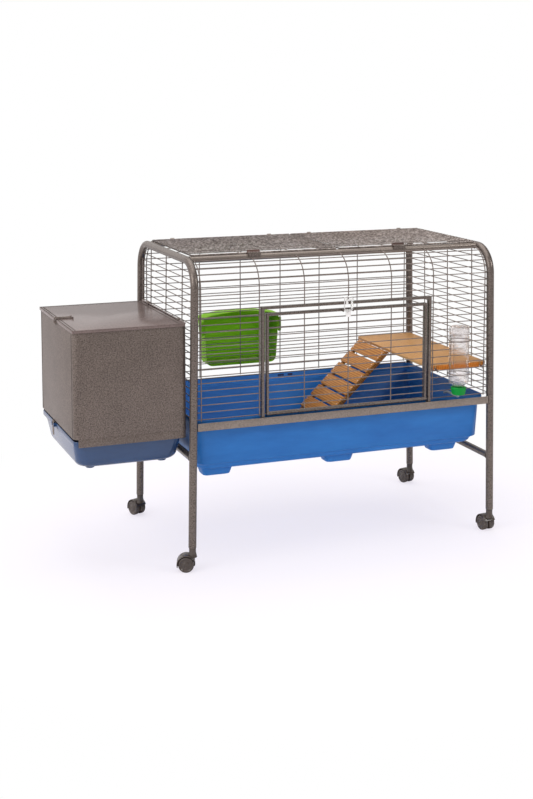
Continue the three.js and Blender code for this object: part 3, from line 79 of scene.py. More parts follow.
Socket = bpy.types.NodeSocket


class Body(Enum):
    """CAD bodies that the pieces ride on."""

    STAND = "cage_stand"
    DOOR = "door"
    DOOR_BAIL = "door_latch_bail"
    TRAY = "tray"
    RAMP = "ramp"
    NEST_LID = "nest_box_lid"
    NEST_BAIL = "nest_lid_bail"
    NEST_TRAY = "nest_drawer"
    NEST_CLIP = "nest_drawer_clip"


class Axis(Enum):
    """The axis that a shape runs along: which of across, up and along gives its x, y and z."""

    X = (2, 0, 1)
    Y = (0, 2, 1)
    Z = (0, 1, 2)

    def order(self, points: Points) -> Points:
        """Points given as (across, up, along), put in the order x, y, z."""
        return points[..., list(self.value)]


# Shapes: arrays of points and of face corners


@dataclass
class Shell:
    """A surface: points in millimetres, and arrays of faces by the numbers of their corners."""

    points: Points
    faces: list[Points]

    def moved(self, x: float = 0.0, y: float = 0.0, z: float = 0.0) -> "Shell":
        """The same shell, shifted."""
        return Shell(self.points + np.array([x, y, z]), self.faces)

    def turned(self, axis: Axis, angle: float, about: Sequence[float] = (0.0, 0.0, 0.0)) -> "Shell":
        """The same shell turned by the right-hand rule.

        Args:
            axis: the axis it turns about.
            angle: the turn in radians.
            about: a point on the axis.

        Returns:
            The turned shell.
        """
        first, second = {Axis.X: (1, 2), Axis.Y: (2, 0), Axis.Z: (0, 1)}[axis]
        points = self.points - np.asarray(about, float)
        a, b = points[:, first].copy(), points[:, second].copy()
        points[:, first] = a * math.cos(angle) - b * math.sin(angle)
        points[:, second] = a * math.sin(angle) + b * math.cos(angle)
        return Shell(points + np.asarray(about, float), self.faces)

    def outward(self) -> "Shell":
        """The same shell with its faces turned so that its signed volume isn't negative."""
        total = 0.0
        for face in self.faces:
            corners = self.points[face]
            total += float(np.einsum("ki,kji->", corners[:, 0], np.cross(corners[:, 1:-1], corners[:, 2:])))
        return self if total >= 0 else Shell(self.points, [face[:, ::-1] for face in self.faces])


def join(shells: Iterable[Shell]) -> Shell:
    """Several shells as one."""
    points, faces, count = [], [], 0
    for shell in shells:
        points.append(shell.points)
        faces += [face + count for face in shell.faces]
        count += len(shell.points)
    return Shell(np.concatenate(points), faces)


def repeat(shell: Shell, places: Places) -> Shell:
    """The same shell at several places, as one."""
    return join(shell.moved(*place) for place in places)


def grid(points: Points, closed: bool = False, caps: bool = True) -> Shell:
    """Rings of points joined by quads.

    Args:
        points: an array of rings by corners by 3; every ring closes on itself.
        closed: whether the last ring joins the first.
        caps: whether the end rings are filled.

    Returns:
        The shell, its faces pointing out.
    """
    rings, corners = points.shape[:2]
    ring, corner = np.meshgrid(np.arange(rings if closed else rings - 1), np.arange(corners), indexing="ij")
    after, beside = (ring + 1) % rings, (corner + 1) % corners
    faces = [np.stack([ring * corners + corner, ring * corners + beside, after * corners + beside,
                       after * corners + corner], axis=-1).reshape(-1, 4)]
    if caps and not closed:
        around = np.arange(corners)
        faces += [around[None, ::-1], (around + (rings - 1) * corners)[None]]
    return Shell(points.reshape(-1, 3), faces).outward()


def unit(vectors: Points) -> Points:
    """Vectors scaled to length one, along the last axis."""
    return np.asarray(vectors, float) / np.linalg.norm(vectors, axis=-1, keepdims=True)


def circle(radius: float, sides: int, start: float = 0.0, turn: float = 2 * math.pi) -> Points:
    """Points on a circle or an arc: radius times the cosine and sine of evenly spaced angles."""
    whole = abs(turn) >= 2 * math.pi - 1e-6
    angle = start + turn * np.arange(sides) / (sides if whole else sides - 1)
    return radius * np.stack([np.cos(angle), np.sin(angle)], axis=-1)


def at(x: float | Points, y: float | Points, z: float | Points) -> Points:
    """Points by their x, y and z, each one value for all or one for each."""
    return np.stack(np.broadcast_arrays(x, y, z), axis=-1)


def lifted(flat: Points, height: float | Points) -> Points:
    """Flat points with a third place: a height of their own, or the same for all."""
    return np.column_stack([flat, np.broadcast_to(height, len(flat))])


def bend_path(corners: Places, radius: float, steps: int = 8) -> Points:
    """A route of straight runs with an arc of one radius at every inner corner.

    With u and v the directions into and out of a corner, the arc's centre lies along v - u at
    radius / cos(half the turn), and the arc runs from minus to plus half the turn.

    Args:
        corners: the route's ends and corners.
        radius: the radius of its bends.
        steps: the number of runs in each arc.

    Returns:
        An array of points.
    """
    corners = np.asarray(corners, float)
    way = unit(np.diff(corners, axis=0))
    points = [corners[:1]]
    for corner, before, after in zip(corners[1:-1], way[:-1], way[1:]):
        half = math.acos(float(np.clip(before @ after, -1.0, 1.0))) / 2
        inward, along = unit(after - before), unit(after + before)
        angle = np.linspace(-half, half, steps + 1)[:, None]
        centre = corner + inward * radius / math.cos(half)
        points.append(centre + radius * (np.sin(angle) * along - np.cos(angle) * inward))
    return np.concatenate([*points, corners[-1:]])


def carry(path: Points, profile: Points, first: Points, second: Points | None = None) -> Points:
    """A profile's corners (a, b) carried along a path as rings: P + a A + b B.

    Args:
        path: the points P of the path.
        profile: the corners of the profile.
        first: the direction A, one for all points or one for each.
        second: the direction B; without it, the path's direction crossed with A.

    Returns:
        The rings.
    """
    first = np.broadcast_to(first, path.shape)
    if second is None:
        second = np.cross(unit(np.gradient(path, axis=0)), first)
    return path[:, None] + profile[None, :, :1] * first[:, None] + profile[None, :, 1:] * second[:, None]


def sweep(path: Points, profile: Points, normal: Sequence[float]) -> Shell:
    """A profile carried along a path in one plane, its first direction the plane's normal."""
    return grid(carry(path, profile, unit(normal)))


def tube(corners: Places, radius: float, bend: float, normal: Sequence[float], sides: int = 12,
         steps: int = 5) -> Shell:
    """A round rod bent to a route in one plane."""
    return sweep(bend_path(corners, bend, steps), circle(radius, sides), normal)


def winding_tube(path: Points, radius: float, sides: int, start: Sequence[float]) -> Shell:
    """A round rod along any path, its rings kept from twisting.

    Each ring's first direction is the last one's, less its part along the new direction of
    travel, scaled back to length one.

    Args:
        path: the points of the path.
        radius: the rod's radius.
        sides: the number of sides.
        start: a direction across the path's first run.

    Returns:
        The shell.
    """
    across, last = [], np.asarray(start, float)
    for way in unit(np.gradient(path, axis=0)):
        last = unit(last - way * (last @ way))
        across.append(last)
    return grid(carry(path, circle(radius, sides), np.array(across)))


def coil(axis: Axis, low: float, high: float, radius: float, wire: float, turns: int, steps: int) -> Shell:
    """A wire wound about an axis through the origin: (radius cos t, radius sin t, steadily along).

    Args:
        axis: the axis.
        low: where the coil starts along it.
        high: where it ends.
        radius: from the axis to the middle of the wire.
        wire: the wire's radius.
        turns: the number of turns.
        steps: the number of runs in each turn.

    Returns:
        The shell.
    """
    angle = np.linspace(0.0, turns * 2 * math.pi, turns * steps + 1)
    out = np.stack([np.cos(angle), np.sin(angle)], axis=-1)
    along = np.linspace(low, high, len(out))
    return grid(carry(axis.order(lifted(radius * out, along)), circle(wire, 8), axis.order(lifted(out, 0.0))))


def rods(starts: Places | Sequence[float], ends: Places | Sequence[float], radius: float,
         sides: int = 8) -> Shell:
    """Straight round rods, all worked out at once.

    Around each axis D stand two vectors A and B at right angles; a ring is the end point plus
    radius (cos t A + sin t B).

    Args:
        starts: the rods' first end points, or the only one.
        ends: their last end points.
        radius: the radius of every rod.
        sides: the number of sides.

    Returns:
        All the rods as one shell.
    """
    starts, ends = np.atleast_2d(np.asarray(starts, float)), np.atleast_2d(np.asarray(ends, float))
    way = unit(ends - starts)
    a = unit(np.cross(way, np.where(np.abs(way[:, 2:]) > 0.9, [1.0, 0.0, 0.0], [0.0, 0.0, 1.0])))
    rings = [carry(place, circle(radius, sides), a, np.cross(way, a)) for place in (starts, ends)]
    return join(grid(pair) for pair in np.stack(rings, axis=1))


def rounded(corners: Places, radius: float | Sequence[float], steps: int = 4) -> Points:
    """A flat outline with rounded corners.

    Each corner C becomes the curve (1-s)^2 A + 2s(1-s) C + s^2 B between points A and B on its
    two edges, a radius away.

    Args:
        corners: the outline's corners in order.
        radius: how far the rounding reaches along each edge, one value or one for each corner.
        steps: the number of runs in each rounding.

    Returns:
        The outline's points.
    """
    corners = np.asarray(corners, float)
    reach = np.broadcast_to(np.asarray(radius, float), (len(corners),))[:, None]
    before = corners + unit(np.roll(corners, 1, axis=0) - corners) * reach
    after = corners + unit(np.roll(corners, -1, axis=0) - corners) * reach
    s = np.linspace(0.0, 1.0, steps + 1)[None, :, None]
    curve = (1 - s) ** 2 * before[:, None] + 2 * s * (1 - s) * corners[:, None] + s ** 2 * after[:, None]
    return curve.reshape(-1, 2)


def rectangle(u0: float, v0: float, u1: float, v1: float, radius: float, steps: int = 4) -> Points:
    """A rectangle between two corners, its own corners arcs of a circle."""
    u0, v0, u1, v1 = u0 + radius, v0 + radius, u1 - radius, v1 - radius
    centres = np.array([[u1, v1], [u0, v1], [u0, v0], [u1, v0]])
    angle = (math.pi / 2) * (np.arange(4)[:, None] + np.linspace(0.0, 1.0, steps + 1)[None])
    return (centres[:, None] + radius * np.stack([np.cos(angle), np.sin(angle)], axis=-1)).reshape(-1, 2)


def level(box: Sequence[float], into: float | Sequence[float], radius: float, height: float,
          steps: int = 8) -> Points:
    """A box's plan with round corners, drawn in and lifted, as one ring of a moulded wall.

    Args:
        box: the plan's least and greatest x and y, as (x0, y0, x1, y1).
        into: how far it is drawn in, along x and y.
        radius: the radius of its corners.
        height: its height.
        steps: the number of runs in each corner.

    Returns:
        The ring.
    """
    a, b = np.broadcast_to(into, 2)
    return lifted(rectangle(box[0] + a, box[1] + b, box[2] - a, box[3] - b, radius, steps), height)


def fillet(into: float, floor: float, radius: float, turns: Points) -> list[tuple[float, float]]:
    """Insets and heights where a wall bends into a floor: radius (1 - sin t), radius (1 - cos t)."""
    return [(into + radius * (1 - math.sin(t)), floor + radius * (1 - math.cos(t))) for t in turns]


def inset(outline: Points, distance: float) -> Points:
    """An outline moved inwards: each point goes along the sum of its two edges' normals."""
    ahead = unit(np.roll(outline, -1, axis=0) - outline + 1e-12)
    normal = np.stack([-ahead[:, 1], ahead[:, 0]], axis=-1)
    behind = np.roll(normal, 1, axis=0)
    mitre = (normal + behind) / (1 + np.sum(normal * behind, axis=-1, keepdims=True))
    area = np.sum(outline[:, 0] * np.roll(outline[:, 1], -1) - outline[:, 1] * np.roll(outline[:, 0], -1))
    return outline + mitre * distance * (1.0 if area > 0 else -1.0)


def prism(outline: Points, low: float, high: float, axis: Axis = Axis.Z, edge: float = 0.0) -> Shell:
    """An outline carried along an axis, its two end faces with rounded edges.

    Args:
        outline: the outline across the axis: (y, z) for X, (x, z) for Y, (x, y) for Z.
        low: where it starts along the axis.
        high: where it ends.
        axis: the axis.
        edge: the size of the rounding; zero leaves the edges sharp.

    Returns:
        The shell.
    """
    rim = fillet(0.0, 0.0, edge, np.linspace(0.0, math.pi / 2, 4)) if edge > 0 else [(0.0, 0.0)]
    levels = [(low + out, into) for into, out in rim] + [(high - out, into) for into, out in reversed(rim)]
    return grid(axis.order(np.stack([lifted(inset(outline, into) if into else outline, spot)
                                     for spot, into in levels])))


def block(low: Sequence[float], high: Sequence[float], radius: float, edge: float) -> Shell:
    """A box with round upright corners and rounded rims."""
    return prism(rectangle(low[0], low[1], high[0], high[1], radius, 3), low[2], high[2], Axis.Z, edge)


def revolve(profile: Places, sides: int, axis: Axis = Axis.Z, closed: bool = False) -> Shell:
    """A profile of (radius, place along the axis) turned a whole turn: (r cos t, r sin t, place)."""
    ring = circle(1.0, sides)
    return grid(axis.order(np.stack([lifted(r * ring, place) for r, place in profile])), closed)


def annulus(inner: float, outer: float, low: float, high: float, sides: int, axis: Axis) -> Shell:
    """A ring or bush with small chamfers, about an axis through the origin."""
    edge = 0.3
    return revolve([(inner, low), (outer - edge, low), (outer, low + edge), (outer, high - edge),
                    (outer - edge, high), (inner, high)], sides, axis, closed=True)


# Finishes: one material each, made when first asked for


def linear(colour: str) -> tuple[float, float, float, float]:
    """An sRGB hex colour as linear red, green, blue and alpha."""
    values = [int(colour[i:i + 2], 16) / 255 for i in (0, 2, 4)]
    return *(v / 12.92 if v <= 0.04045 else ((v + 0.055) / 1.055) ** 2.4 for v in values), 1.0


@dataclass
class Nodes:
    """The nodes of a material or of the world, emptied first."""

    tree: bpy.types.NodeTree

    def __post_init__(self) -> None:
        """Empties the tree."""
        self.tree.nodes.clear()

    def add(self, kind: str, settings: dict | None = None, links: dict | None = None,
            **attributes) -> bpy.types.Node:
        """Adds a node.

        Args:
            kind: the node's type, without the ShaderNode before it.
            settings: socket values by socket name or number.
            links: what feeds an input, by its name or number: a socket, or a node's first output.
            attributes: the node's own settings.

        Returns:
            The node.
        """
        node = self.tree.nodes.new("ShaderNode" + kind)
        for key, value in attributes.items():
            setattr(node, key, value)
        for key, value in (settings or {}).items():
            node.inputs[key].default_value = value
        for key, source in (links or {}).items():
            self.tree.links.new(source if isinstance(source, Socket) else source.outputs[0], node.inputs[key])
        return node


@dataclass(frozen=True)
class Finish:
    """A finish: its shader's own values, and what its nodes do to colour, gloss and height."""

    name: str
    slot: str
    colour: str
    roughness: float

    def values(self) -> dict:
        """The shader's values that are the same all over."""
        return {}

    def material(self) -> bpy.types.Material:
        """The finish's material, made once."""
        if self.name in bpy.data.materials:
            return bpy.data.materials[self.name]
        made = bpy.data.materials.new(self.name)
        made.use_nodes = True
        made.diffuse_color = linear(self.colour)
        nodes = Nodes(made.node_tree)
        effects = self.dress(nodes, nodes.add("TexCoord").outputs["Object"])
        shader = nodes.add("BsdfPrincipled", {"Base Color": linear(self.colour), "Roughness": self.roughness,
                                              **self.values()}, effects)
        nodes.add("OutputMaterial", links={"Surface": shader})
        return made

    def dress(self, nodes: Nodes, place: Socket) -> dict:
        """What feeds the shader's inputs, by their names."""
        return {}

    def shaded(self, nodes: Nodes, picker: Socket | bpy.types.Node, stops: Iterable[tuple[float, str]],
               wear: tuple[bpy.types.Node, float, float] | None = None) -> Socket:
        """A colour picked from a ramp, and made lighter and darker by a slow pattern.

        Args:
            nodes: the material's nodes.
            picker: what picks the colour.
            stops: the ramp's places and hex colours.
            wear: the pattern, and how much of the colour its low and high parts keep.

        Returns:
            The colour.
        """
        ramp = nodes.add("ValToRGB", links={"Fac": picker})
        elements, stops = ramp.color_ramp.elements, list(stops)
        for place, _ in stops[1:-1]:
            elements.new(place)
        for element, (place, colour) in zip(elements, stops):
            element.position = place
            element.color = linear(colour)
        if wear is None:
            return ramp.outputs[0]
        shade = nodes.add("MapRange", {"From Min": 0.3, "From Max": 0.7, "To Min": wear[1], "To Max": wear[2]},
                          {"Value": wear[0]})
        return nodes.add("Mix", {"Factor": 1.0}, {6: ramp, 7: shade}, data_type="RGBA",
                         blend_type="MULTIPLY").outputs[2]


@dataclass(frozen=True)
class HammeredPaint(Finish):
    """Hammer-finish enamel baked on steel: grey-brown with metal flake, pulled into small dimples
    as it dries, so light breaks into soft specks on it. The dimples of a real coat are about 2 mm
    across; dimple is that size as drawn, coarse enough to show in the render."""

    dimple: float = 3.2
    depth: float = 0.35
    light: str = "9a908a"
    dark: str = "5b524d"
    metallic: float = 0.35
    specular: float = 0.4

    def values(self) -> dict:
        """Part metal, with a soft gloss."""
        return {"Metallic": self.metallic, "Specular IOR Level": self.specular}

    def dress(self, nodes: Nodes, place: Socket) -> dict:
        """Mottles the colour, varies the gloss and dimples the surface."""
        size = 1 / (self.dimple * MM)
        fine = nodes.add("TexNoise", {"Scale": size, "Detail": 3.0, "Roughness": 0.65}, {"Vector": place})
        cells = nodes.add("TexVoronoi", {"Scale": size}, {"Vector": place}, feature="SMOOTH_F1")
        broad = nodes.add("TexNoise", {"Scale": 1 / (90 * MM), "Detail": 2.0}, {"Vector": place})
        stops = ((0.34, self.dark), (0.5, self.colour), (0.66, self.light))
        return {"Base Color": self.shaded(nodes, fine, stops, (broad, 0.92, 1.06)),
                "Roughness": nodes.add("MapRange", {"To Min": self.roughness - 0.08,
                                                    "To Max": self.roughness + 0.12}, {"Value": fine}),
                "Normal": nodes.add("Bump", {"Strength": 0.5, "Distance": self.depth * MM}, {"Height": cells})}


@dataclass(frozen=True)
class MouldedPlastic(Finish):
    """Injection-moulded polypropylene or ABS: even colour through, a fine spark-eroded grain from
    the mould that softens highlights, and slow flow marks that shift the shade a little."""

    light: str = "4a86c8"
    grain: float = 1.6
    depth: float = 0.05
    scuff: float = 0.06
    specular: float = 0.3
    glow: float = 0.0
    coat: float = 0.0

    def values(self) -> dict:
        """The gloss and, on thin translucent walls, the glow of light inside them."""
        glow = {"Subsurface Weight": self.glow, "Subsurface Radius": (0.8, 1.0, 0.3), "Subsurface Scale": 12 * MM}
        return {"Specular IOR Level": self.specular, "Coat Weight": self.coat, "Coat Roughness": 0.12,
                **(glow if self.glow else {})}

    def dress(self, nodes: Nodes, place: Socket) -> dict:
        """Shifts the shade slowly, scuffs the gloss and grains the surface."""
        flow = nodes.add("Mapping", {"Scale": (4.0, 4.0, 14.0)}, {"Vector": place})
        slow = nodes.add("TexNoise", {"Scale": 1.4, "Detail": 4.0, "Roughness": 0.6}, {"Vector": flow})
        grain = nodes.add("TexNoise", {"Scale": 1 / (self.grain * MM), "Detail": 2.0}, {"Vector": place})
        return {"Base Color": self.shaded(nodes, slow, ((0.3, self.colour), (0.75, self.light))),
                "Roughness": nodes.add("MapRange", {"To Min": self.roughness - self.scuff,
                                                    "To Max": self.roughness + self.scuff}, {"Value": slow}),
                "Normal": nodes.add("Bump", {"Strength": 0.3, "Distance": self.depth * MM}, {"Height": grain})}


@dataclass(frozen=True)
class Softwood(Finish):
    """Planed pine, clear lacquered: yellow-brown early wood with darker late-wood lines about
    8 mm apart along the grain, stretched fibres and a slight ripple that catches the light."""

    light: str = "d9ab72"
    dark: str = "a56a35"
    ring: float = 8.0
    tilt: float = 0.0

    def values(self) -> dict:
        """The lacquer's low gloss."""
        return {"Specular IOR Level": 0.3}

    def dress(self, nodes: Nodes, place: Socket) -> dict:
        """Draws growth rings and fibres, stretched along the grain."""
        turned = nodes.add("Mapping", {"Rotation": (0.0, self.tilt, 0.0)}, {"Vector": place})
        along = nodes.add("Mapping", {"Scale": (1.0, 0.06, 1.0)}, {"Vector": turned})
        wander = nodes.add("TexNoise", {"Scale": 18.0, "Detail": 3.0}, {"Vector": along})
        bent = nodes.add("VectorMath", {1: (0.03, 0.03, 0.03)}, {0: wander.outputs["Color"]},
                         operation="MULTIPLY")
        shifted = nodes.add("VectorMath", links={0: along, 1: bent}, operation="ADD")
        rings = nodes.add("TexWave", {"Scale": 0.314 / (self.ring * MM), "Distortion": 1.5, "Detail": 3.0,
                                      "Detail Scale": 1.5}, {"Vector": shifted}, wave_type="BANDS",
                          bands_direction="X", wave_profile="SAW")
        fibre = nodes.add("TexNoise", {"Scale": 1 / (1.2 * MM), "Detail": 4.0, "Roughness": 0.7},
                          {"Vector": along})
        stops = ((0.05, self.light), (0.6, self.colour), (0.98, self.dark))
        return {"Base Color": self.shaded(nodes, rings.outputs["Fac"], stops, (fibre, 0.86, 1.08)),
                "Normal": nodes.add("Bump", {"Strength": 0.35, "Distance": 0.1 * MM}, {"Height": fibre})}


@dataclass(frozen=True)
class BrightPlate(Finish):
    """Bright zinc plate on formed wire and pressed tabs: a clean mirror colour with faint clouding
    and small draw lines, so its reflections waver."""

    def values(self) -> dict:
        """All metal."""
        return {"Metallic": 1.0}

    def dress(self, nodes: Nodes, place: Socket) -> dict:
        """Clouds the gloss and ripples the surface."""
        cloud = nodes.add("TexNoise", {"Scale": 1 / (6 * MM), "Detail": 3.0}, {"Vector": place})
        return {"Roughness": nodes.add("MapRange", {"To Min": self.roughness, "To Max": self.roughness + 0.2},
                                       {"Value": cloud}),
                "Normal": nodes.add("Bump", {"Strength": 0.15, "Distance": 0.1 * MM}, {"Height": cloud})}


@dataclass(frozen=True)
class ClearBottle(Finish):
    """Blown clear PET: colourless, glossy, a little wavy from blowing, so it shows mostly as
    bright rims and a faint grey body."""

    def values(self) -> dict:
        """Lets light through, and thins the wall."""
        return {"Transmission Weight": 1.0, "IOR": 1.2, "Alpha": 0.5}

    def dress(self, nodes: Nodes, place: Socket) -> dict:
        """Ripples the wall."""
        wave = nodes.add("TexNoise", {"Scale": 1 / (14 * MM), "Detail": 2.0}, {"Vector": place})
        return {"Normal": nodes.add("Bump", {"Strength": 0.4, "Distance": 0.6 * MM}, {"Height": wave})}


TUBE_PAINT = HammeredPaint("hammered_enamel_tube", "hammertone", "6c635d", 0.26, depth=0.15, light="776e68",
                           dark="5e5550", metallic=0.6)
# Painted light: a lighter copy of the tube enamel for the angle rails and top bars, standing in for the light that
# their upper faces catch; the softer speckle is the paint's own.
RAIL_PAINT_PAINTED_LIGHTER = HammeredPaint("hammered_enamel_rail_painted_lighter", "hammertone", "857b73", 0.3, depth=0.12, light="938880",
                           dark="776d66", metallic=0.5)
SHEET_PAINT = HammeredPaint("hammered_enamel_sheet", "sheet", "6a5f59", 0.42, dimple=3.6, dark="4b423d",
                            light="81766f", metallic=0.3)
LID_PAINT = HammeredPaint("hammered_enamel_lid", "lid", "766865", 0.16, depth=0.08, light="837470",
                          dark="685b58", metallic=0.2, specular=0.2)
# Painted shade: a near-black copy of the sheet enamel, laid in thin strips where gaps and folds on the nest box
# fall into shadow.
PAINTED_SHADE_SHEET = HammeredPaint("painted_shade_seam", "sheet", "433b36", 0.6, depth=0.05, light="4f4640", dark="383029",
                          metallic=0.1, specular=0.1)
WIRE_COAT = HammeredPaint("powder_coated_wire", "wire", "776c66", 0.4, dimple=2.4, depth=0.1, light="8a7f79",
                          dark="635953", metallic=0.3)
# Painted light: a lighter copy of the wire coat for the roof lids, which catch the overhead light; its wide spread
# between light and dark adds painted highlights to the hammered specks.
ROOF_WIRE_PAINTED_LIGHT = HammeredPaint("powder_coated_roof_wire_painted_lighter", "wire", "877d77", 0.3, dimple=8.0, depth=0.1,
                          light="b0a7a1", dark="554b46", metallic=0.5)
TRAY_BLUE = MouldedPlastic("blue_polypropylene_tray", "blue_plastic", "1f66b2", 0.42, light="2b78c4")
DRAWER_BLUE = MouldedPlastic("dark_blue_polypropylene_drawer", "dark_blue_plastic", "223e66", 0.2,
                             light="2a4a76", specular=0.5, depth=0.02, coat=0.15)
RACK_GREEN = MouldedPlastic("green_polypropylene_rack", "green_plastic", "6aa024", 0.6, light="86b83a",
                            specular=0.05, depth=0.08, glow=0.6)
CLIP_BLACK = MouldedPlastic("black_nylon_clip", "black_plastic", "523f3a", 0.4, light="6b544d")
CASTOR_GREY = MouldedPlastic("brown_grey_nylon_castor", "castor_plastic", "3d342f", 0.24, light="564b45",
                             grain=1.0, depth=0.06, specular=0.6)
CAP_GREEN = MouldedPlastic("green_polypropylene_cap", "cap_green", "06852f", 0.4, light="0f9a42", specular=0.15)
SPOUT_WHITE = MouldedPlastic("white_spout", "white_plastic", "7f8a92", 0.3, light="8f9aa2")
BRIGHT = BrightPlate("bright_zinc_plate", "chrome", "f2f2f0", 0.18)
DULL = BrightPlate("dulled_zinc_plate", "chrome", "7c716a", 0.3)
BOTTLE_CLEAR = ClearBottle("clear_blown_bottle", "clear_plastic", "fdfbfa", 0.03)
SHELF_PINE = Softwood("lacquered_pine_shelf", "wood", "c08a50", 0.45, light="d8ab70", dark="a26a36")
EDGE_PINE = Softwood("lacquered_pine_edge", "wood", "cf7622", 0.45, light="dc8a30", dark="ad5c16")
RAMP_PINE = Softwood("lacquered_pine_ramp", "wood", "b0702c", 0.48, light="c68a40", dark="824c18",
                     tilt=math.pi / 4)
# Painted shade: a darker copy of the ramp pine for the rails under the slats, so that their sides read as the
# shadow beneath the slat ends.
RAIL_PINE_PAINTED_SHADE = Softwood("lacquered_pine_rail_painted_dark", "wood", "96602c", 0.48, light="a87238", dark="744418",
                     tilt=math.pi / 4)


def stand_origin() -> Points:
    """Where the stand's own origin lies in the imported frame: amid the two hoops, on the floor."""
    boxes = np.array([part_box(name) for name in ("left_hoop", "right_hoop")]) / MM
    middle = (boxes[:, 0].min(axis=0) + boxes[:, 1].max(axis=0)) / 2
    return middle * np.array([1.0, 1.0, 0.0])


def added(made: bpy.types.Object) -> bpy.types.Object:
    """Puts a new object into the scene."""
    bpy.context.scene.collection.objects.link(made)
    return made


def make_piece(name: str, shells: Shell | Iterable[Shell], finish: Finish, node: str = "",
               body: Body | str = Body.STAND, crease: float = 38.0, weld: bool = False) -> None:
    """Puts a shape into the scene as a piece.

    Args:
        name: the piece's name.
        shells: its shape, in millimetres in the stand's own frame.
        finish: what it is finished in.
        node: the CAD node that it stands for; empty for trim on another piece.
        body: the CAD body that it rides on.
        crease: edges that turn by more than this many degrees stay sharp.
        weld: whether points that meet, such as those of a pole, become one.
    """
    shell = shells if isinstance(shells, Shell) else join(shells)
    mesh = bpy.data.meshes.new(name)
    points = (shell.points + ORIGIN) * MM
    mesh.from_pydata(points.tolist(), [], sum((face.tolist() for face in shell.faces), []))
    if weld:
        work = bmesh.new()
        work.from_mesh(mesh)
        bmesh.ops.remove_doubles(work, verts=work.verts, dist=0.001 * MM)
        bmesh.ops.recalc_face_normals(work, faces=work.faces)
        work.to_mesh(mesh)
        work.free()
    mesh.polygons.foreach_set("use_smooth", np.ones(len(mesh.polygons), bool))
    mesh.set_sharp_from_angle(angle=math.radians(crease))
    mesh.materials.append(finish.material())
    mesh.update()
    piece = added(bpy.data.objects.new(name, mesh))
    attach(piece, body.value if isinstance(body, Body) else body)
    if node:
        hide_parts(node)
    log.info("%s: %d faces on %s", name, len(mesh.polygons), body)


@dataclass
class Stand:
    """Tube hoops with their cross bars, the angle rails and the top bars."""

    leg_x: float = 528.0
    leg_y: float = 296.0
    tube_radius: float = 12.5
    top: float = 971.0
    bend: float = 85.0
    foot: float = 76.0
    lean: float = 0.0148
    lean_height: float = 263.0
    left_cross: float = 358.0
    right_cross: float = 261.0
    cross_radius: float = 11.0
    bar_radius: float = 10.0
    rail_low: float = 445.0
    rail_face: float = 25.0
    rail_wall: float = 2.5
    rail_out: float = 9.5
    rail_ledge: float = 36.0
    centre_half: float = 7.0
    eye_radius: float = 6.0
    eye_half: float = 6.0
    eye_bore: float = 3.1
    eye_places: tuple[float, ...] = (-431.0, -76.0, 76.0, 431.0)
    weld_sink: float = 0.6

    @property
    def bar_y(self) -> float:
        """How far the top bars lie from the middle."""
        return self.leg_y - self.bend

    @property
    def bend_low(self) -> float:
        """The height where the hoops begin to bend."""
        return self.top - self.bend

    @property
    def lid_axis(self) -> float:
        """Height of the lids' hinge rods."""
        return self.top + self.bar_radius + 2.9

    def reach(self, z: float | Points) -> float | Points:
        """How far out the middle of a leaning hoop stands at a height."""
        return self.leg_x - (z - self.lean_height) * math.tan(self.lean)

    def leaned(self, shell: Shell, side: int) -> Shell:
        """A shell of one end, built upright, leaned inwards about a line across its legs."""
        return shell.turned(Axis.Y, -side * self.lean, (side * self.leg_x, 0.0, self.lean_height))

    def bar(self, low: Sequence[float], high: Sequence[float], radius: float, axis: Axis) -> Shell:
        """A round bar between two tubes, with a weld bead near each end."""
        ring = revolve(circle(1.8, 8) + np.array([radius, 0.0]), 24, axis, closed=True)
        back = self.weld_sink * unit(np.subtract(high, low))
        return join([rods(low, high, radius, 28), ring.moved(*(low + back)), ring.moved(*(high - back))])

    def end(self, name: str, side: int, cross: float) -> None:
        """One hoop, up, over and down, with the bar between its legs."""
        x, y, span = side * self.leg_x, self.leg_y, self.leg_y - self.tube_radius + 0.8
        hoop = tube([(x, -y, self.foot), (x, -y, self.top), (x, y, self.top), (x, y, self.foot)],
                    self.tube_radius, self.bend, (1, 0, 0), 32, 16)
        make_piece(f"hoop_tube_{name}", self.leaned(hoop, side), TUBE_PAINT, f"{name}_hoop")
        bar = self.bar((x, -span, cross), (x, span, cross), self.cross_radius, Axis.Y)
        make_piece(f"cross_bar_{name}_end", self.leaned(bar, side), TUBE_PAINT, f"{name}_cross_bar")

    def face(self, name: str, side: int) -> None:
        """The angle rail and the top bar of the front or the back, with eyes for the lids at the back."""
        sunk, outer, low = self.tube_radius - self.weld_sink, self.leg_y + self.rail_out, self.rail_low
        thin, edge, high = outer - self.rail_wall, outer - self.rail_ledge, low + self.rail_face
        corners = [(outer, low), (outer, high), (thin, high), (thin, low + self.rail_wall),
                   (edge, low + self.rail_wall), (edge, low)]
        outline = rounded(corners, [2.0, 0.9, 0.9, 1.0, 0.9, 0.9], 3) * np.array([side, 1.0])
        end = self.reach(low + self.rail_face / 2) - sunk
        make_piece(f"angle_rail_{name}", prism(outline, -end, end, Axis.X), RAIL_PAINT_PAINTED_LIGHTER, f"{name}_rail", crease=50)
        y, end = side * self.bar_y, self.reach(self.top) - sunk
        shells = [self.bar((-end, y, self.top), (end, y, self.top), self.bar_radius, Axis.X)]
        if side > 0:
            eye = annulus(self.eye_bore, self.eye_radius, -self.eye_half, self.eye_half, 20, Axis.X)
            shells.append(repeat(eye, at(self.eye_places, y, self.lid_axis)))
        make_piece(f"top_bar_{name}", shells, RAIL_PAINT_PAINTED_LIGHTER, f"top_{name}_bar")

    def build(self) -> None:
        """Makes every piece of the stand."""
        for (name, side), cross in zip(NAMED_ENDS, (self.left_cross, self.right_cross)):
            self.end(name, side, cross)
        for name, side in NAMED_FACES:
            self.face(name, side)
        half, end = self.centre_half, self.bar_y - self.bar_radius + 0.3
        section = rectangle(-half, self.top - half, half, self.top + half, 1.8, 3)
        make_piece("roof_cross_bar", prism(section, -end, end, Axis.Y), TUBE_PAINT, "roof_centre_bar", crease=50)


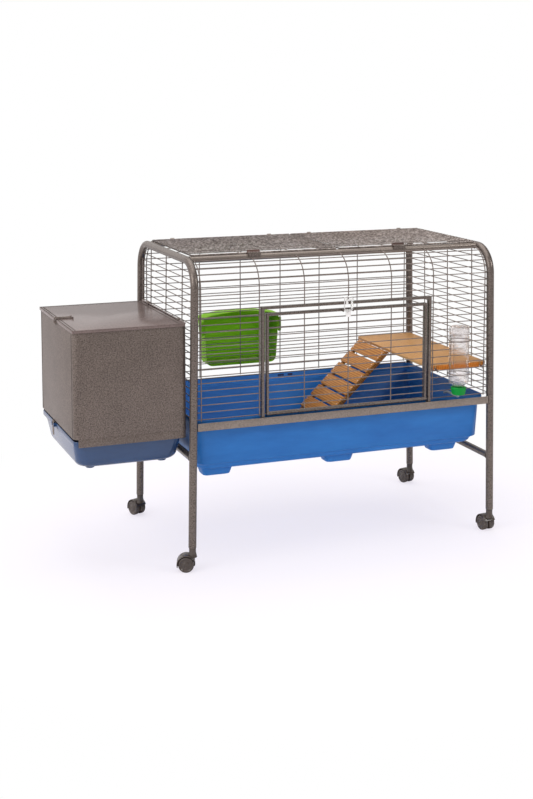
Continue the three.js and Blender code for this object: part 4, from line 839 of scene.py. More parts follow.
@dataclass
class MeshPanels:
    """Welded wire mesh on the front, back and ends."""

    stand: Stand
    row_radius: float = 1.6
    upright_radius: float = 1.8
    first_row: float = 479.0
    pitch: float = 22.8
    rows: int = 24
    bottom: float = 475.2
    layer: float = 2.9
    upright_pitch: float = 153.0
    edge_upright: float = 499.0
    end_places: tuple[float, ...] = (172.0, 276.0)
    entrance_half: float = 95.0
    entrance_rows: tuple[int, int] = (1, 10)
    door_head: float = 818.0
    head_top: float = 822.0
    post_outer: float = 298.5
    arc_end: float = 1.43
    lap: float = 2.0

    def row_height(self, row: int | Points) -> float | Points:
        """Height of a row, measured along the panel from the floor."""
        return self.first_row + self.pitch * row

    def row_place(self, rows: Points) -> tuple[Points, Points]:
        """How far back and how high the rows of the bent back panel lie.

        Below the bend a row lies straight up the panel. Above it, its angle is the length past
        the bend's start over the bend's radius.

        Args:
            rows: the rows' numbers.

        Returns:
            The rows' y and z.
        """
        start, reach = self.stand.bend_low, self.stand.bend - self.layer
        along = self.row_height(rows)
        angle = np.maximum(along - start, 0.0) / self.stand.bend
        return (self.stand.bar_y + reach * np.cos(angle),
                np.where(angle > 0, start + reach * np.sin(angle), along))

    def bent_panel(self, name: str, node: str, side: int, rows: Points, low: float | Points,
                   high: float | Points, uprights: Sequence[float], foot: float) -> None:
        """A panel that bends over to a top bar at the front or the back.

        Args:
            name: the piece's name.
            node: the CAD node that it stands for.
            side: -1 for the front and 1 for the back.
            rows: its rows' numbers.
            low: where the rows start along X, one place or one for each.
            high: where they end.
            uprights: the places of its uprights.
            foot: the height that its uprights start from.
        """
        y, z = self.row_place(rows)
        wires = rods(at(low, side * y, z), at(high, side * y, z), self.row_radius)
        angle = np.linspace(0.0, self.arc_end, 10)
        back = [self.stand.leg_y, *(self.stand.bar_y + self.stand.bend * np.cos(angle))]
        up = [foot, *(self.stand.bend_low + self.stand.bend * np.sin(angle))]
        upright = sweep(at(0.0, side * np.array(back), up), circle(self.upright_radius, 8), (1, 0, 0))
        make_piece(name, [wires, repeat(upright, at(uprights, 0, 0))], WIRE_COAT, node)

    def end_panel(self, name: str, side: int, entrance: bool) -> None:
        """A flat panel inside a hoop, with an entrance in the left one.

        Its rows reach the straight legs, or the circle of the bend inside the tube.

        Args:
            name: which end it is on.
            side: -1 for the left and 1 for the right.
            entrance: whether a doorway to the nest box is left open.
        """
        stand = self.stand
        x, top, inner = side * stand.leg_x, stand.top - stand.tube_radius, stand.bend - stand.tube_radius
        rows = np.arange(self.rows)
        rows = rows[self.row_height(rows) < top - 4]
        z, row_x, gap = self.row_height(rows), x - side * self.layer, self.entrance_half - self.lap
        half = stand.bar_y + np.sqrt(np.maximum(inner ** 2 - np.maximum(z - stand.bend_low, 0.0) ** 2, 0.0))
        cut = (rows >= self.entrance_rows[0]) & (rows < self.entrance_rows[1]) & entrance
        wires = [rods(at(row_x, -half[~cut], z[~cut]), at(row_x, half[~cut], z[~cut]), self.row_radius)]
        jamb = self.row_height(self.entrance_rows[1]) + 3
        if entrance:
            wires += [rods(at(row_x, gap, z[cut]), at(row_x, half[cut], z[cut]), self.row_radius),
                      rods(at(row_x, -half[cut], z[cut]), at(row_x, -gap, z[cut]), self.row_radius)]
        places = np.array([side_y * y for y in self.end_places for side_y in SIDES])
        tops = stand.bend_low + np.sqrt(inner ** 2 - np.maximum(np.abs(places) - stand.bar_y, 0.0) ** 2)
        wires += [rods(at(x, places, self.bottom), at(x, places, tops), self.upright_radius),
                  rods((x, 0, jamb - 7 if entrance else self.bottom), (x, 0, top), self.upright_radius)]
        if entrance:
            jambs = self.entrance_half * np.array(SIDES)
            wires.append(rods(at(x, jambs, self.bottom), at(x, jambs, jamb), self.upright_radius))
        make_piece(f"end_wires_{name}", stand.leaned(join(wires), side), WIRE_COAT, f"{name}_mesh")

    def build(self) -> None:
        """Makes every fixed panel: the front beside the doorway and over it, the back and the ends."""
        every, inner, step = np.arange(self.rows), 2 * self.upright_pitch, self.upright_pitch
        above = self.row_height(every) > self.head_top + 2
        ends = self.stand.reach(self.row_place(every)[1]) - self.stand.tube_radius
        starts = np.where(above, inner - self.lap, self.post_outer)
        for name, side in NAMED_ENDS:
            self.bent_panel(f"front_wires_{name}", f"front_mesh_{name}", -1, every, side * starts, side * ends,
                            [side * self.edge_upright, side * inner], self.bottom)
        self.bent_panel("front_wires_over_door", "front_mesh_top", -1, every[above], -inner + 2.3, inner - 2.3,
                        [-step, 0.0, step], self.head_top)
        self.bent_panel("rear_wires", "rear_mesh", 1, every, -ends, ends,
                        [-self.edge_upright, *(step * np.arange(-2, 3)), self.edge_upright], self.bottom)
        for name, side in NAMED_ENDS:
            self.end_panel(name, side, side < 0)


@dataclass
class FrontDoor:
    """The doorway's frame, the door in it and the sprung bail that holds it."""

    panels: MeshPanels
    post_centre: float = 294.0
    post_half: float = 4.5
    stile_centre: float = 278.5
    stile_half: float = 3.5
    back: float = -282.0
    depth: float = 18.0
    sill: float = 480.0
    head_half: float = 4.0
    rail_half: float = 4.0
    door_top: float = 800.5
    low: float = 447.8
    edge: float = 0.9
    sill_radius: float = 6.0
    pin_radius: float = 2.5
    pin_end: float = 295.5
    knob_z: float = 829.5
    bail_half: float = 13.0
    bail_radius: float = 1.8
    bail_top: float = 839.5
    latch_x: float = -7.0
    latch_y: float = -310.0
    latch_z: float = 796.5
    ear_x: float = 17.0

    @property
    def front(self) -> float:
        """The face of the doorway and the door."""
        return self.back - self.depth

    def bar(self, x0: float, z0: float, x1: float, z1: float) -> Shell:
        """A flat steel bar of the doorway or door, set on edge, its four long edges eased."""
        if x1 - x0 > z1 - z0:
            return prism(rectangle(self.front, z0, self.back, z1, self.edge, 2), x0, x1, Axis.X)
        return prism(rectangle(x0, self.front, x1, self.back, self.edge, 2), z0, z1, Axis.Z)

    def surround(self, centre: float, half: float, low: float, high: float, under: float) -> list[Shell]:
        """Two upright bars and the bar between their tops.

        Args:
            centre: how far out the uprights' middles stand.
            half: half the width of an upright.
            low: where the uprights start.
            high: where they end.
            under: the underside of the bar between them.

        Returns:
            The three bars.
        """
        uprights = [self.bar(s * centre - half, low, s * centre + half, high) for s in SIDES]
        return [*uprights, self.bar(half - centre, under, centre - half, high)]

    def doorway(self) -> None:
        """Two posts and a head bar, with the catch that the bail slips over."""
        low, high = self.panels.door_head - self.head_half, self.panels.door_head + self.head_half
        make_piece("doorway_posts_and_head", self.surround(self.post_centre, self.post_half, self.low, high, low),
                   TUBE_PAINT, "doorway_frame", crease=50)
        x, top = self.latch_x, self.knob_z + 4
        outline = rounded([(x - 4, low), (x + 4, low), (x + 4, top), (x - 4, top)], [1, 1, 3.4, 3.4], 5)
        plate = prism(outline, self.front - 2.3, self.front - 0.1, Axis.Y, 0.4)
        knob = revolve([(0, 0), (2.9, 0.3), (3.4, 1.2), (2.8, 2.1), (2.3, 2.8), (2.3, 12.4), (0, 12.4)], 20,
                       Axis.Y).moved(x, self.front - 14.3, self.knob_z)
        make_piece("doorway_catch_knob", [plate, knob], BRIGHT, "doorway_catch", weld=True)

    def door(self) -> None:
        """Two stiles, a top rail and a round hinge bar, with the mesh between them."""
        outer, inner = self.stile_centre + self.stile_half, self.stile_centre - self.stile_half
        under, axis_y, panels = self.door_top - 2 * self.rail_half, self.front + self.sill_radius, self.panels
        frame = self.surround(self.stile_centre, self.stile_half, self.sill, self.door_top, under)
        frame += [rods((-end, axis_y, self.sill), (end, axis_y, self.sill), radius, sides)
                  for end, radius, sides in ((outer, self.sill_radius, 24), (self.pin_end, self.pin_radius, 16))]
        for side in SIDES:
            x = self.latch_x + side * self.ear_x
            frame.append(block((x - 1.5, self.latch_y - 4, self.latch_z - 4),
                               (x + 1.5, self.front + 1, self.latch_z + 4), 1.2, 0.6))
        make_piece("door_stiles_and_rail", frame, TUBE_PAINT, "door_frame", Body.DOOR, crease=50)
        z, y = panels.row_height(np.arange(panels.rows)), -panels.stand.leg_y
        z = z[(z > self.sill + self.sill_radius + panels.layer) & (z < under - 2)]
        x = panels.upright_pitch * np.arange(-1, 2)
        wires = [rods(at(-inner, y + panels.layer, z), at(inner, y + panels.layer, z), panels.row_radius),
                 rods(at(x, y, self.sill + 4.5), at(x, y, under), panels.upright_radius)]
        make_piece("door_wires", wires, WIRE_COAT, "door_mesh", Body.DOOR)

    def bail(self) -> None:
        """The bail over the knob, the coils on its pivot and its right arm, and its finger tab."""
        x, y, z, w = self.latch_x, self.latch_y, self.latch_z, self.bail_half
        loop = tube([(x - w, y, z), (x - w, y, self.bail_top), (x + w, y, self.bail_top), (x + w, y, z)],
                    self.bail_radius, 4.0, (0, 1, 0), 16, 8)
        pin = rods((x - self.ear_x - 1.4, y, z), (x + self.ear_x + 1.4, y, z), 1.5, 16)
        pivot_coil = coil(Axis.X, x - 10.5, x + 10.5, 2.2, 0.8, 11, 16).moved(0, y, z)
        arm_coil = coil(Axis.Z, z + 5, self.bail_top - 6, 3.6, 1.15, 13, 14).moved(x + w, y)
        outline = rounded([(x - 9, z - 22), (x + 9, z - 22), (x + 9, z - 1.5), (x - 9, z - 1.5)], [6, 6, 2, 2], 6)
        make_piece("door_bail_and_tab", [loop, pin, pivot_coil, arm_coil,
                                         prism(outline, y - 1, y + 1, Axis.Y, 0.5)], BRIGHT, "door_latch",
                   Body.DOOR_BAIL)

    def build(self) -> None:
        """Makes the doorway, the door and its bail."""
        self.doorway()
        self.door()
        self.bail()


@dataclass
class Roof:
    """Two mesh lids on the top bars, each with a clip at its front edge."""

    stand: Stand
    rod_radius: float = 2.6
    wire_radius: float = 1.45
    near: float = 6.0
    far: float = 501.0
    pitch: float = 22.8
    layer: float = 2.9
    clip_length: float = 42.0
    clip_places: tuple[float, float] = (-294.0, 217.0)
    clip_outer: float = 6.2
    clip_inner: float = 3.1

    def lid(self, side: int) -> list[Shell]:
        """Frame rods, two long wires and the rows across them."""
        x0, x1 = sorted((side * self.near, side * self.far))
        y, z, r = self.stand.bar_y, self.stand.lid_axis, self.rod_radius
        x = x0 + (x1 - x0) * np.array([1 / 3, 2 / 3])
        rows = -y + self.pitch * np.arange(1, int((2 * y - self.pitch / 2) / self.pitch) + 1)
        return [tube([(x0, -y, z), (x1, -y, z), (x1, y, z), (x0, y, z), (x0, -y, z)], r, 5.0, (0, 0, 1), 12, 6),
                rods((x0, -y, z), (x0, y, z), r, 12), rods((x0 + 3, y, z), (x1 - 3, y, z), r, 12),
                rods(at(x, -y, z), at(x, y, z), self.wire_radius),
                rods(at(x0 - 1, rows, z + self.layer), at(x1 + 1, rows, z + self.layer), self.wire_radius)]

    def clip(self, centre: float) -> tuple[list[Shell], Shell]:
        """A sprung clip: a C round the lid's rod with its finger tab, and a jaw in front of the bar."""
        y, z, half = -self.stand.bar_y, self.stand.lid_axis, self.clip_length / 2
        start, turn = math.radians(12), math.radians(216)
        curl = np.concatenate([circle(self.clip_outer, 15, start, turn),
                               circle(self.clip_inner, 15, start + turn, -turn)]) + np.array([y, z])
        front, low, under, crown = y - self.stand.bar_radius - 0.6, self.stand.top + 2.4, z - 0.6, z + 3.1
        jaw = rounded([(front, low), (front, under), (y - 5.6, under), (y - 5.2, crown), (front - 3, crown),
                       (front - 3, low)], [0.8, 0.8, 0.6, 0.6, 2.5, 0.8], 4)
        tab = rectangle(y - 2, z + 4.6, y + 2, z + 10, 1.6, 3)
        hook, tab, jaw = (prism(outline, centre - half, centre + half, Axis.X, edge)
                          for outline, edge in ((curl, 0.4), (tab, 1.2), (jaw, 0.6)))
        return [hook, tab], jaw

    def build(self) -> None:
        """Makes both lids and their clips."""
        for (name, side), centre in zip(NAMED_ENDS, self.clip_places):
            barrel, jaw = self.clip(centre)
            make_piece(f"roof_lid_wires_{name}", self.lid(side), ROOF_WIRE_PAINTED_LIGHT, f"roof_lid_{name}", f"{name}_lid")
            make_piece(f"roof_clip_{name}", barrel, CLIP_BLACK, f"roof_latch_{name}", f"{name}_lid_latch",
                       crease=45)
            make_piece(f"roof_clip_jaw_{name}", jaw, TUBE_PAINT, "", f"{name}_lid_latch", crease=45)


@dataclass
class LitterTray:
    """The deep blue tray that slides on the rails, with its step, feet and rim."""

    half_x: float = 506.5
    half_y: float = 267.7
    rim_x: float = 512.5
    rim_y: float = 281.5
    runner: float = 447.8
    rim_top: float = 24.0
    wall: float = 3.0
    corner: float = 26.0
    floor: float = 305.0
    step: float = 324.0
    step_in: float = 6.0
    draft: float = 8.0
    foot_height: float = 25.0
    foot_length: float = 92.0
    foot_width: float = 60.0
    foot_inset: float = 34.0
    foot_taper: float = 7.0
    foot_places: tuple[float, ...] = (-425.0, 0.0, 385.0)
    clip_seats: tuple[tuple[float, float], ...] = ((-4.0, 12.0), (32.0, 9.0))

    def ring(self, into: float, z: float, corner: float) -> Points:
        """One level of the tray's body, an inset from its top."""
        box = (-self.half_x, -self.half_y, self.half_x, self.half_y)
        return level(box, into, max(corner - into * 0.6, self.wall), z)

    def rim(self, into: float, z: float) -> Points:
        """One level of the rim, its height given over the runner."""
        box = (-self.rim_x, -self.rim_y, self.rim_x, self.rim_y)
        return level(box, into, self.corner - into, self.runner + z)

    def body(self) -> Shell:
        """The tray's wall, from the middle of its floor out, up, over the rim and back inside."""
        shoulder, bend, w = self.draft / 2, self.corner / 2, self.wall
        low, turn = shoulder + self.step_in, np.linspace(0, math.pi / 2, 7)[:-1]
        steps = [(low + 2, self.floor + bend, 56.0), (low + 0.4, self.step - 2, 46.0),
                 (low - 0.6, self.step - 0.4, 43.0), (shoulder + 1.2, self.step + 2, 38.0),
                 (shoulder, self.step + 3.6, 36.0)]
        outside = [self.ring(into, z, 60.0) for into, z in fillet(low + 2, self.floor, bend, turn)]
        outside += [self.ring(*step) for step in steps]
        outside += [self.ring(0.6, self.runner - 6, self.corner), self.ring(0.0, self.runner, self.corner)]
        rim = [(1.0, 0.0), (0.0, 1.0), (0.0, self.rim_top - 1.2), (1.0, self.rim_top), (w - 1.0, self.rim_top),
               (w, self.rim_top - 1.2), (w, w + 1.5), (w + 1.5, w)]
        inside = [self.ring(w - 1.5, self.runner + w, self.corner), self.ring(w, self.runner + w - 2, self.corner)]
        inside += [self.ring(into + w, z, corner) for into, z, corner in reversed(steps)]
        inside += [self.ring(into, z, 60.0)
                   for into, z in fillet(low + 2 + w, self.floor + w, bend - w, turn[::-1])]
        return grid(np.stack([*outside, *(self.rim(*place) for place in rim), *inside]))

    def foot(self, x: float, y: float) -> Shell:
        """A shallow foot with sloping sides and a rounded bottom, wider at the floor than below."""
        box = (x - self.foot_length / 2, y - self.foot_width / 2, x + self.foot_length / 2,
               y + self.foot_width / 2)
        levels = [(4.0, 0.0), (1.6, 0.8), (0.4, 2.6), (-self.foot_taper, self.foot_height + 1.5)]
        return grid(np.stack([level(box, into, 15.0 - into * 0.4, self.floor - self.foot_height + up, 6)
                              for into, up in levels]))

    def build(self) -> None:
        """Makes the tray, and two dark patches of painted shade where the clip slots open in its rear rim."""
        foot_y = self.half_y - self.foot_inset - self.foot_width / 2
        feet = [self.foot(x, side * foot_y) for x in self.foot_places for side in SIDES]
        make_piece("litter_tray_moulding", [self.body(), *feet], TRAY_BLUE, "main_tray", Body.TRAY, crease=48)
        lip, low = self.rim_y - self.wall, self.runner + 13
        # Painted shade: thin dark blue plates on the rim's inner face, standing in for the shadow inside the clip
        # slots, which are not cut.
        slot_shades = [prism(rectangle(x - half, low, x + half, low + 8, 2.5, 4), lip - 0.9, lip + 0.6, Axis.Y)
                 for x, half in self.clip_seats]
        make_piece("litter_tray_clip_slot_shade", slot_shades, DRAWER_BLUE, "", Body.TRAY)


@dataclass
class ShelfAndRamp:
    """The pine shelf on its wire hangers, and the slatted ramp hinged to it."""

    left: float = 300.0
    right: float = 518.0
    half_depth: float = 283.0
    corner: float = 14.0
    low: float = 575.6
    high: float = 585.1
    lip_depth: float = 9.0
    lip_thick: float = 12.0
    lip_notch: float = 4.0
    hook_inset: float = 24.0
    hook_radius: float = 1.5
    hook_z: float = 573.8
    hook_out: float = 296.7
    hook_run: float = 231.3
    ramp_top: float = 278.0
    ramp_z: float = 585.4
    ramp_width: float = 220.0
    slope: float = 0.768
    slats: int = 6
    slat_pitch: float = 54.5
    slat_width: float = 47.0
    slat_thick: float = 7.0
    rail_width: float = 16.0
    rail_thick: float = 10.0
    rail_reach: float = 3.5
    ramp_length: float = 377.1
    axis_x: float = 286.0
    axis_z: float = 573.4
    plate_places: tuple[float, float] = (16.3, 191.7)
    plate_width: float = 12.0

    def down_ramp(self, shell: Shell) -> Shell:
        """A shell built lying flat along -X from the ramp's top edge, turned down the slope."""
        return shell.turned(Axis.Y, -self.slope).moved(self.ramp_top, 0.0, self.ramp_z)

    def shelf(self) -> None:
        """The board with eased edges, its edge strips, and the hangers under it."""
        inner = self.half_depth - 0.8
        outline = rectangle(self.left, -inner, self.right, inner, self.corner, 8)
        make_piece("shelf_board", prism(outline, self.low, self.high, Axis.Z, 1.4), SHELF_PINE, "platform_board")
        x0, x1, notch = self.left + self.hook_inset, self.right - self.hook_inset, self.lip_notch
        runs = ((self.left + self.corner, x0 - notch), (x0 + notch, x1 - notch),
                (x1 + notch, self.right - self.corner))
        lips = []
        for side in SIDES:
            near, far = sorted((side * self.half_depth, side * (self.half_depth - self.lip_thick)))
            strip = rectangle(near, self.low - self.lip_depth, far, self.high - 0.3, 1.0, 2)
            lips += [prism(strip, a, b, Axis.X, 0.4) for a, b in runs]
        make_piece("shelf_edge_strips", lips, EDGE_PINE)
        r, z = self.hook_radius, self.hook_z
        for name, side in NAMED_FACES:
            out, run = side * self.hook_out, side * self.hook_run
            bar = tube([(x0, out, z), (x0, run, z), (x1, run, z), (x1, out, z)], r, 3.0, (0, 0, 1))
            tips = [tube([(x, side * (self.hook_out - 4), z), (x, out, z), (x, out, z - 9)], r, 1.6, (1, 0, 0))
                    for x in (x0, x1)]
            make_piece(f"shelf_hanger_{name}", [bar, *tips], WIRE_COAT, f"platform_hook_{name}")

    def ramp(self) -> None:
        """Slats nailed across two rails, with the hinge rod through the rails' tops."""
        for slat in range(self.slats):
            x = -slat * self.slat_pitch
            outline = rectangle(x - self.slat_width, 0.0, x, self.ramp_width, 3.0, 4)
            make_piece(f"ramp_board_{slat + 1}", self.down_ramp(prism(outline, -self.slat_thick, 0.0, Axis.Z, 1.2)),
                       RAMP_PINE, f"ramp_slat_{slat + 1}", Body.RAMP)
        nail = revolve([(0, 0.5), (1.7, 0.3), (2.0, -0.4), (0, -0.4)], 12)
        half, high = self.rail_width / 2, -self.slat_thick - 0.3
        rail_y = (half, self.ramp_width - half)
        places = [(-slat * self.slat_pitch - self.slat_width * share, y, 0.0)
                  for slat in range(self.slats) for share in (0.28, 0.72) for y in rail_y]
        make_piece("ramp_nails", self.down_ramp(repeat(nail, places)), BRIGHT, "", Body.RAMP, weld=True)
        # The rails take the darker pine of painted shade.
        for (name, _), y in zip(NAMED_FACES, rail_y):
            outline = rectangle(y - half, high - self.rail_thick, y + half, high, 1.2, 3)
            rail = prism(outline, -self.ramp_length, self.rail_reach, Axis.X, 0.8)
            make_piece(f"ramp_runner_{name}", self.down_ramp(rail), RAIL_PINE_PAINTED_SHADE, f"ramp_rail_{name}", Body.RAMP)

    def hinge(self) -> None:
        """The two hinge plates screwed under the shelf, and the rod through them and the rails."""
        x, z, top = self.axis_x, self.axis_z, self.low - 0.3
        for (name, _), near in zip(NAMED_FACES, self.plate_places):
            far = near + self.plate_width
            plate = [annulus(2.3, 6.0, near, far, 24, Axis.Y).moved(x, 0, z),
                     block((x + 4.2, near, top - 2), (x + 34, far, top), 2.5, 0.4),
                     block((x - 1, near, top - 2.2), (x + 6, far, top), 0.8, 0.4)]
            make_piece(f"ramp_hinge_plate_{name}", plate, BRIGHT, f"ramp_hinge_{name}", crease=45)
        make_piece("ramp_hinge_wire", rods((x, -2, z), (x, self.ramp_width + 2, z), 2.0, 16), BRIGHT,
                   "ramp_hinge_rod", Body.RAMP)

    def build(self) -> None:
        """Makes the shelf and the ramp."""
        self.shelf()
        self.ramp()
        self.hinge()


@dataclass
class HayRack:
    """The green hay rack outside the back mesh."""

    width: float = 286.0
    centre: float = -147.0
    low: float = 512.0
    side_top: float = 688.0
    arch: float = 16.0
    front: float = 298.2
    depth: float = 74.0
    wall: float = 3.0
    taper: float = 12.0
    corner: float = 24.0
    tab_width: float = 12.0

    def outline(self, into: float) -> Points:
        """The rack seen from the front: tapered sides, round bottom corners and an arched top."""
        half, low = self.width / 2 - into, self.low + into
        base = rounded([(-half + self.taper, low), (half - self.taper, low), (half, self.side_top),
                        (-half, self.side_top)], [self.corner, self.corner, 0.01, 0.01], 8)
        share = np.linspace(1.0, -1.0, 21)
        arch = np.stack([half * share, self.side_top + (self.arch - into) * (1 - share ** 2)], axis=-1)
        return np.concatenate([base[:18], arch]) + np.array([self.centre, 0.0])

    def build(self) -> None:
        """Makes the rack: a pocket open towards the cage, its back plate and the side tabs."""
        back, outer, inner = self.front + self.depth, self.outline(0.0), self.outline(self.wall)
        levels = [(inner, self.front), (outer, self.front), (outer, back - 10), (inset(outer, 1.2), back - 4),
                  (inset(outer, 4.0), back - 1), (inset(outer, 9.0), back), (inset(outer, 12.0), back - self.wall),
                  (inset(inner, 1.2), back - 8)]
        shells = [grid(Axis.Y.order(np.stack([lifted(shape, y) for shape, y in levels])), True),
                  prism(inset(outer, 10.0), back - self.wall, back - 0.4, Axis.Y, 0.4)]
        for side in SIDES:
            edge = self.centre + side * (self.width / 2 - self.wall)
            x0, x1 = sorted((edge, edge + side * self.tab_width))
            shells.append(prism(rectangle(x0, 623.0, x1, 675.0, 3.5, 4), self.front, self.front + 3, Axis.Y, 0.8))
        make_piece("hay_rack_pocket", shells, RACK_GREEN, "hay_rack", crease=45)


@dataclass
class WaterBottle:
    """The inverted bottle, its cap and spout, and the wire bracket that holds it."""

    x: float = 383.0
    y: float = -335.0
    radius: float = 33.5
    top: float = 723.0
    shoulder: float = 540.0
    neck_radius: float = 19.0
    neck_low: float = 503.0
    wall: float = 1.5
    dome: float = 10.0
    waists: tuple[float, ...] = (693.0, 636.0, 600.0)
    cap_radius: float = 25.0
    cap_top: float = 520.0
    cap_low: float = 495.0
    spout_radius: float = 4.0
    spout_run: float = 487.0
    ring_heights: tuple[float, float] = (566.0, 676.0)
    rod_radius: float = 1.5
    hook_z: float = 687.6
    hook_y: float = -289.5

    def profile(self) -> Points:
        """The outside of the bottle from its base, which is up, to its mouth, with its waists."""
        r, low = self.radius - self.dome, self.top - self.dome
        points = [(0.0, self.top - 3), (14.0, self.top - 3), (r, self.top)]
        points += [(r + self.dome * math.sin(t), low + self.dome * math.cos(t))
                   for t in np.linspace(0, math.pi / 2, 6)[1:]]
        for z in self.waists:
            points += [(self.radius - into, z + up) for into, up in ((0, 4), (1.2, 1.5), (1.2, -1.5), (0, -4))]
        slope = np.linspace(0, 1, 6)
        ease = 3 * slope ** 2 - 2 * slope ** 3
        shoulder = np.column_stack([self.radius + (self.neck_radius - self.radius) * ease,
                                    self.shoulder + (self.cap_top + 4 - self.shoulder) * slope])
        return np.array([*points, *shoulder, (self.neck_radius, self.cap_top), (self.neck_radius, self.neck_low)])

    def build(self) -> None:
        """Makes the bottle and everything on it."""
        outside = self.profile()
        inner = np.column_stack([np.maximum(outside[:, 0] - self.wall, 0.0), outside[:, 1]])
        inner[:8, 1] -= self.wall
        bottle = revolve(np.concatenate([outside, inner[::-1]]), 48).moved(self.x, self.y)
        make_piece("bottle_shell", bottle, BOTTLE_CLEAR, "bottle_body", weld=True)
        r, low, top = self.cap_radius, self.cap_low, self.cap_top
        bore, hole = self.neck_radius + 0.4, self.spout_radius + 0.4
        cap = revolve([(hole, low), (r - 5, low), (r - 3.4, low + 2), (r, top - 1), (r - 1, top), (bore, top),
                       (bore, self.neck_low - 0.3), (hole, self.neck_low - 0.3)], 48, closed=True)
        grips = rods(lifted(circle(r - 3.6, 36), low + 3), lifted(circle(r - 0.4, 36), top - 2), 0.9, 6)
        make_piece("bottle_screw_cap", join([cap, grips]).moved(self.x, self.y), CAP_GREEN, "bottle_cap")
        run, inside = self.spout_run, 34 - self.y - 296
        spout = tube([(0, 0, 501.7), (0, 0, run), (0, inside, run), (0, inside + 24, run - 8)],
                     self.spout_radius, 6.0, (1, 0, 0), 20, 8).moved(self.x, self.y)
        make_piece("bottle_drinking_tube", spout, SPOUT_WHITE, "bottle_spout")
        ring, x, z = self.radius + 0.3 + self.rod_radius, self.x, self.hook_z
        hoop = revolve(circle(self.rod_radius, 10) + np.array([ring, 0.0]), 48, closed=True)
        back = self.y + ring
        spine = tube([(x, back, self.ring_heights[0] - 9), (x, back, z), (x, self.hook_y, z),
                      (x, self.hook_y, z - 9)], self.rod_radius, 1.6, (1, 0, 0))
        make_piece("bottle_wire_holder", [repeat(hoop, at(x, self.y, self.ring_heights)), spine], WIRE_COAT,
                   "bottle_bracket")


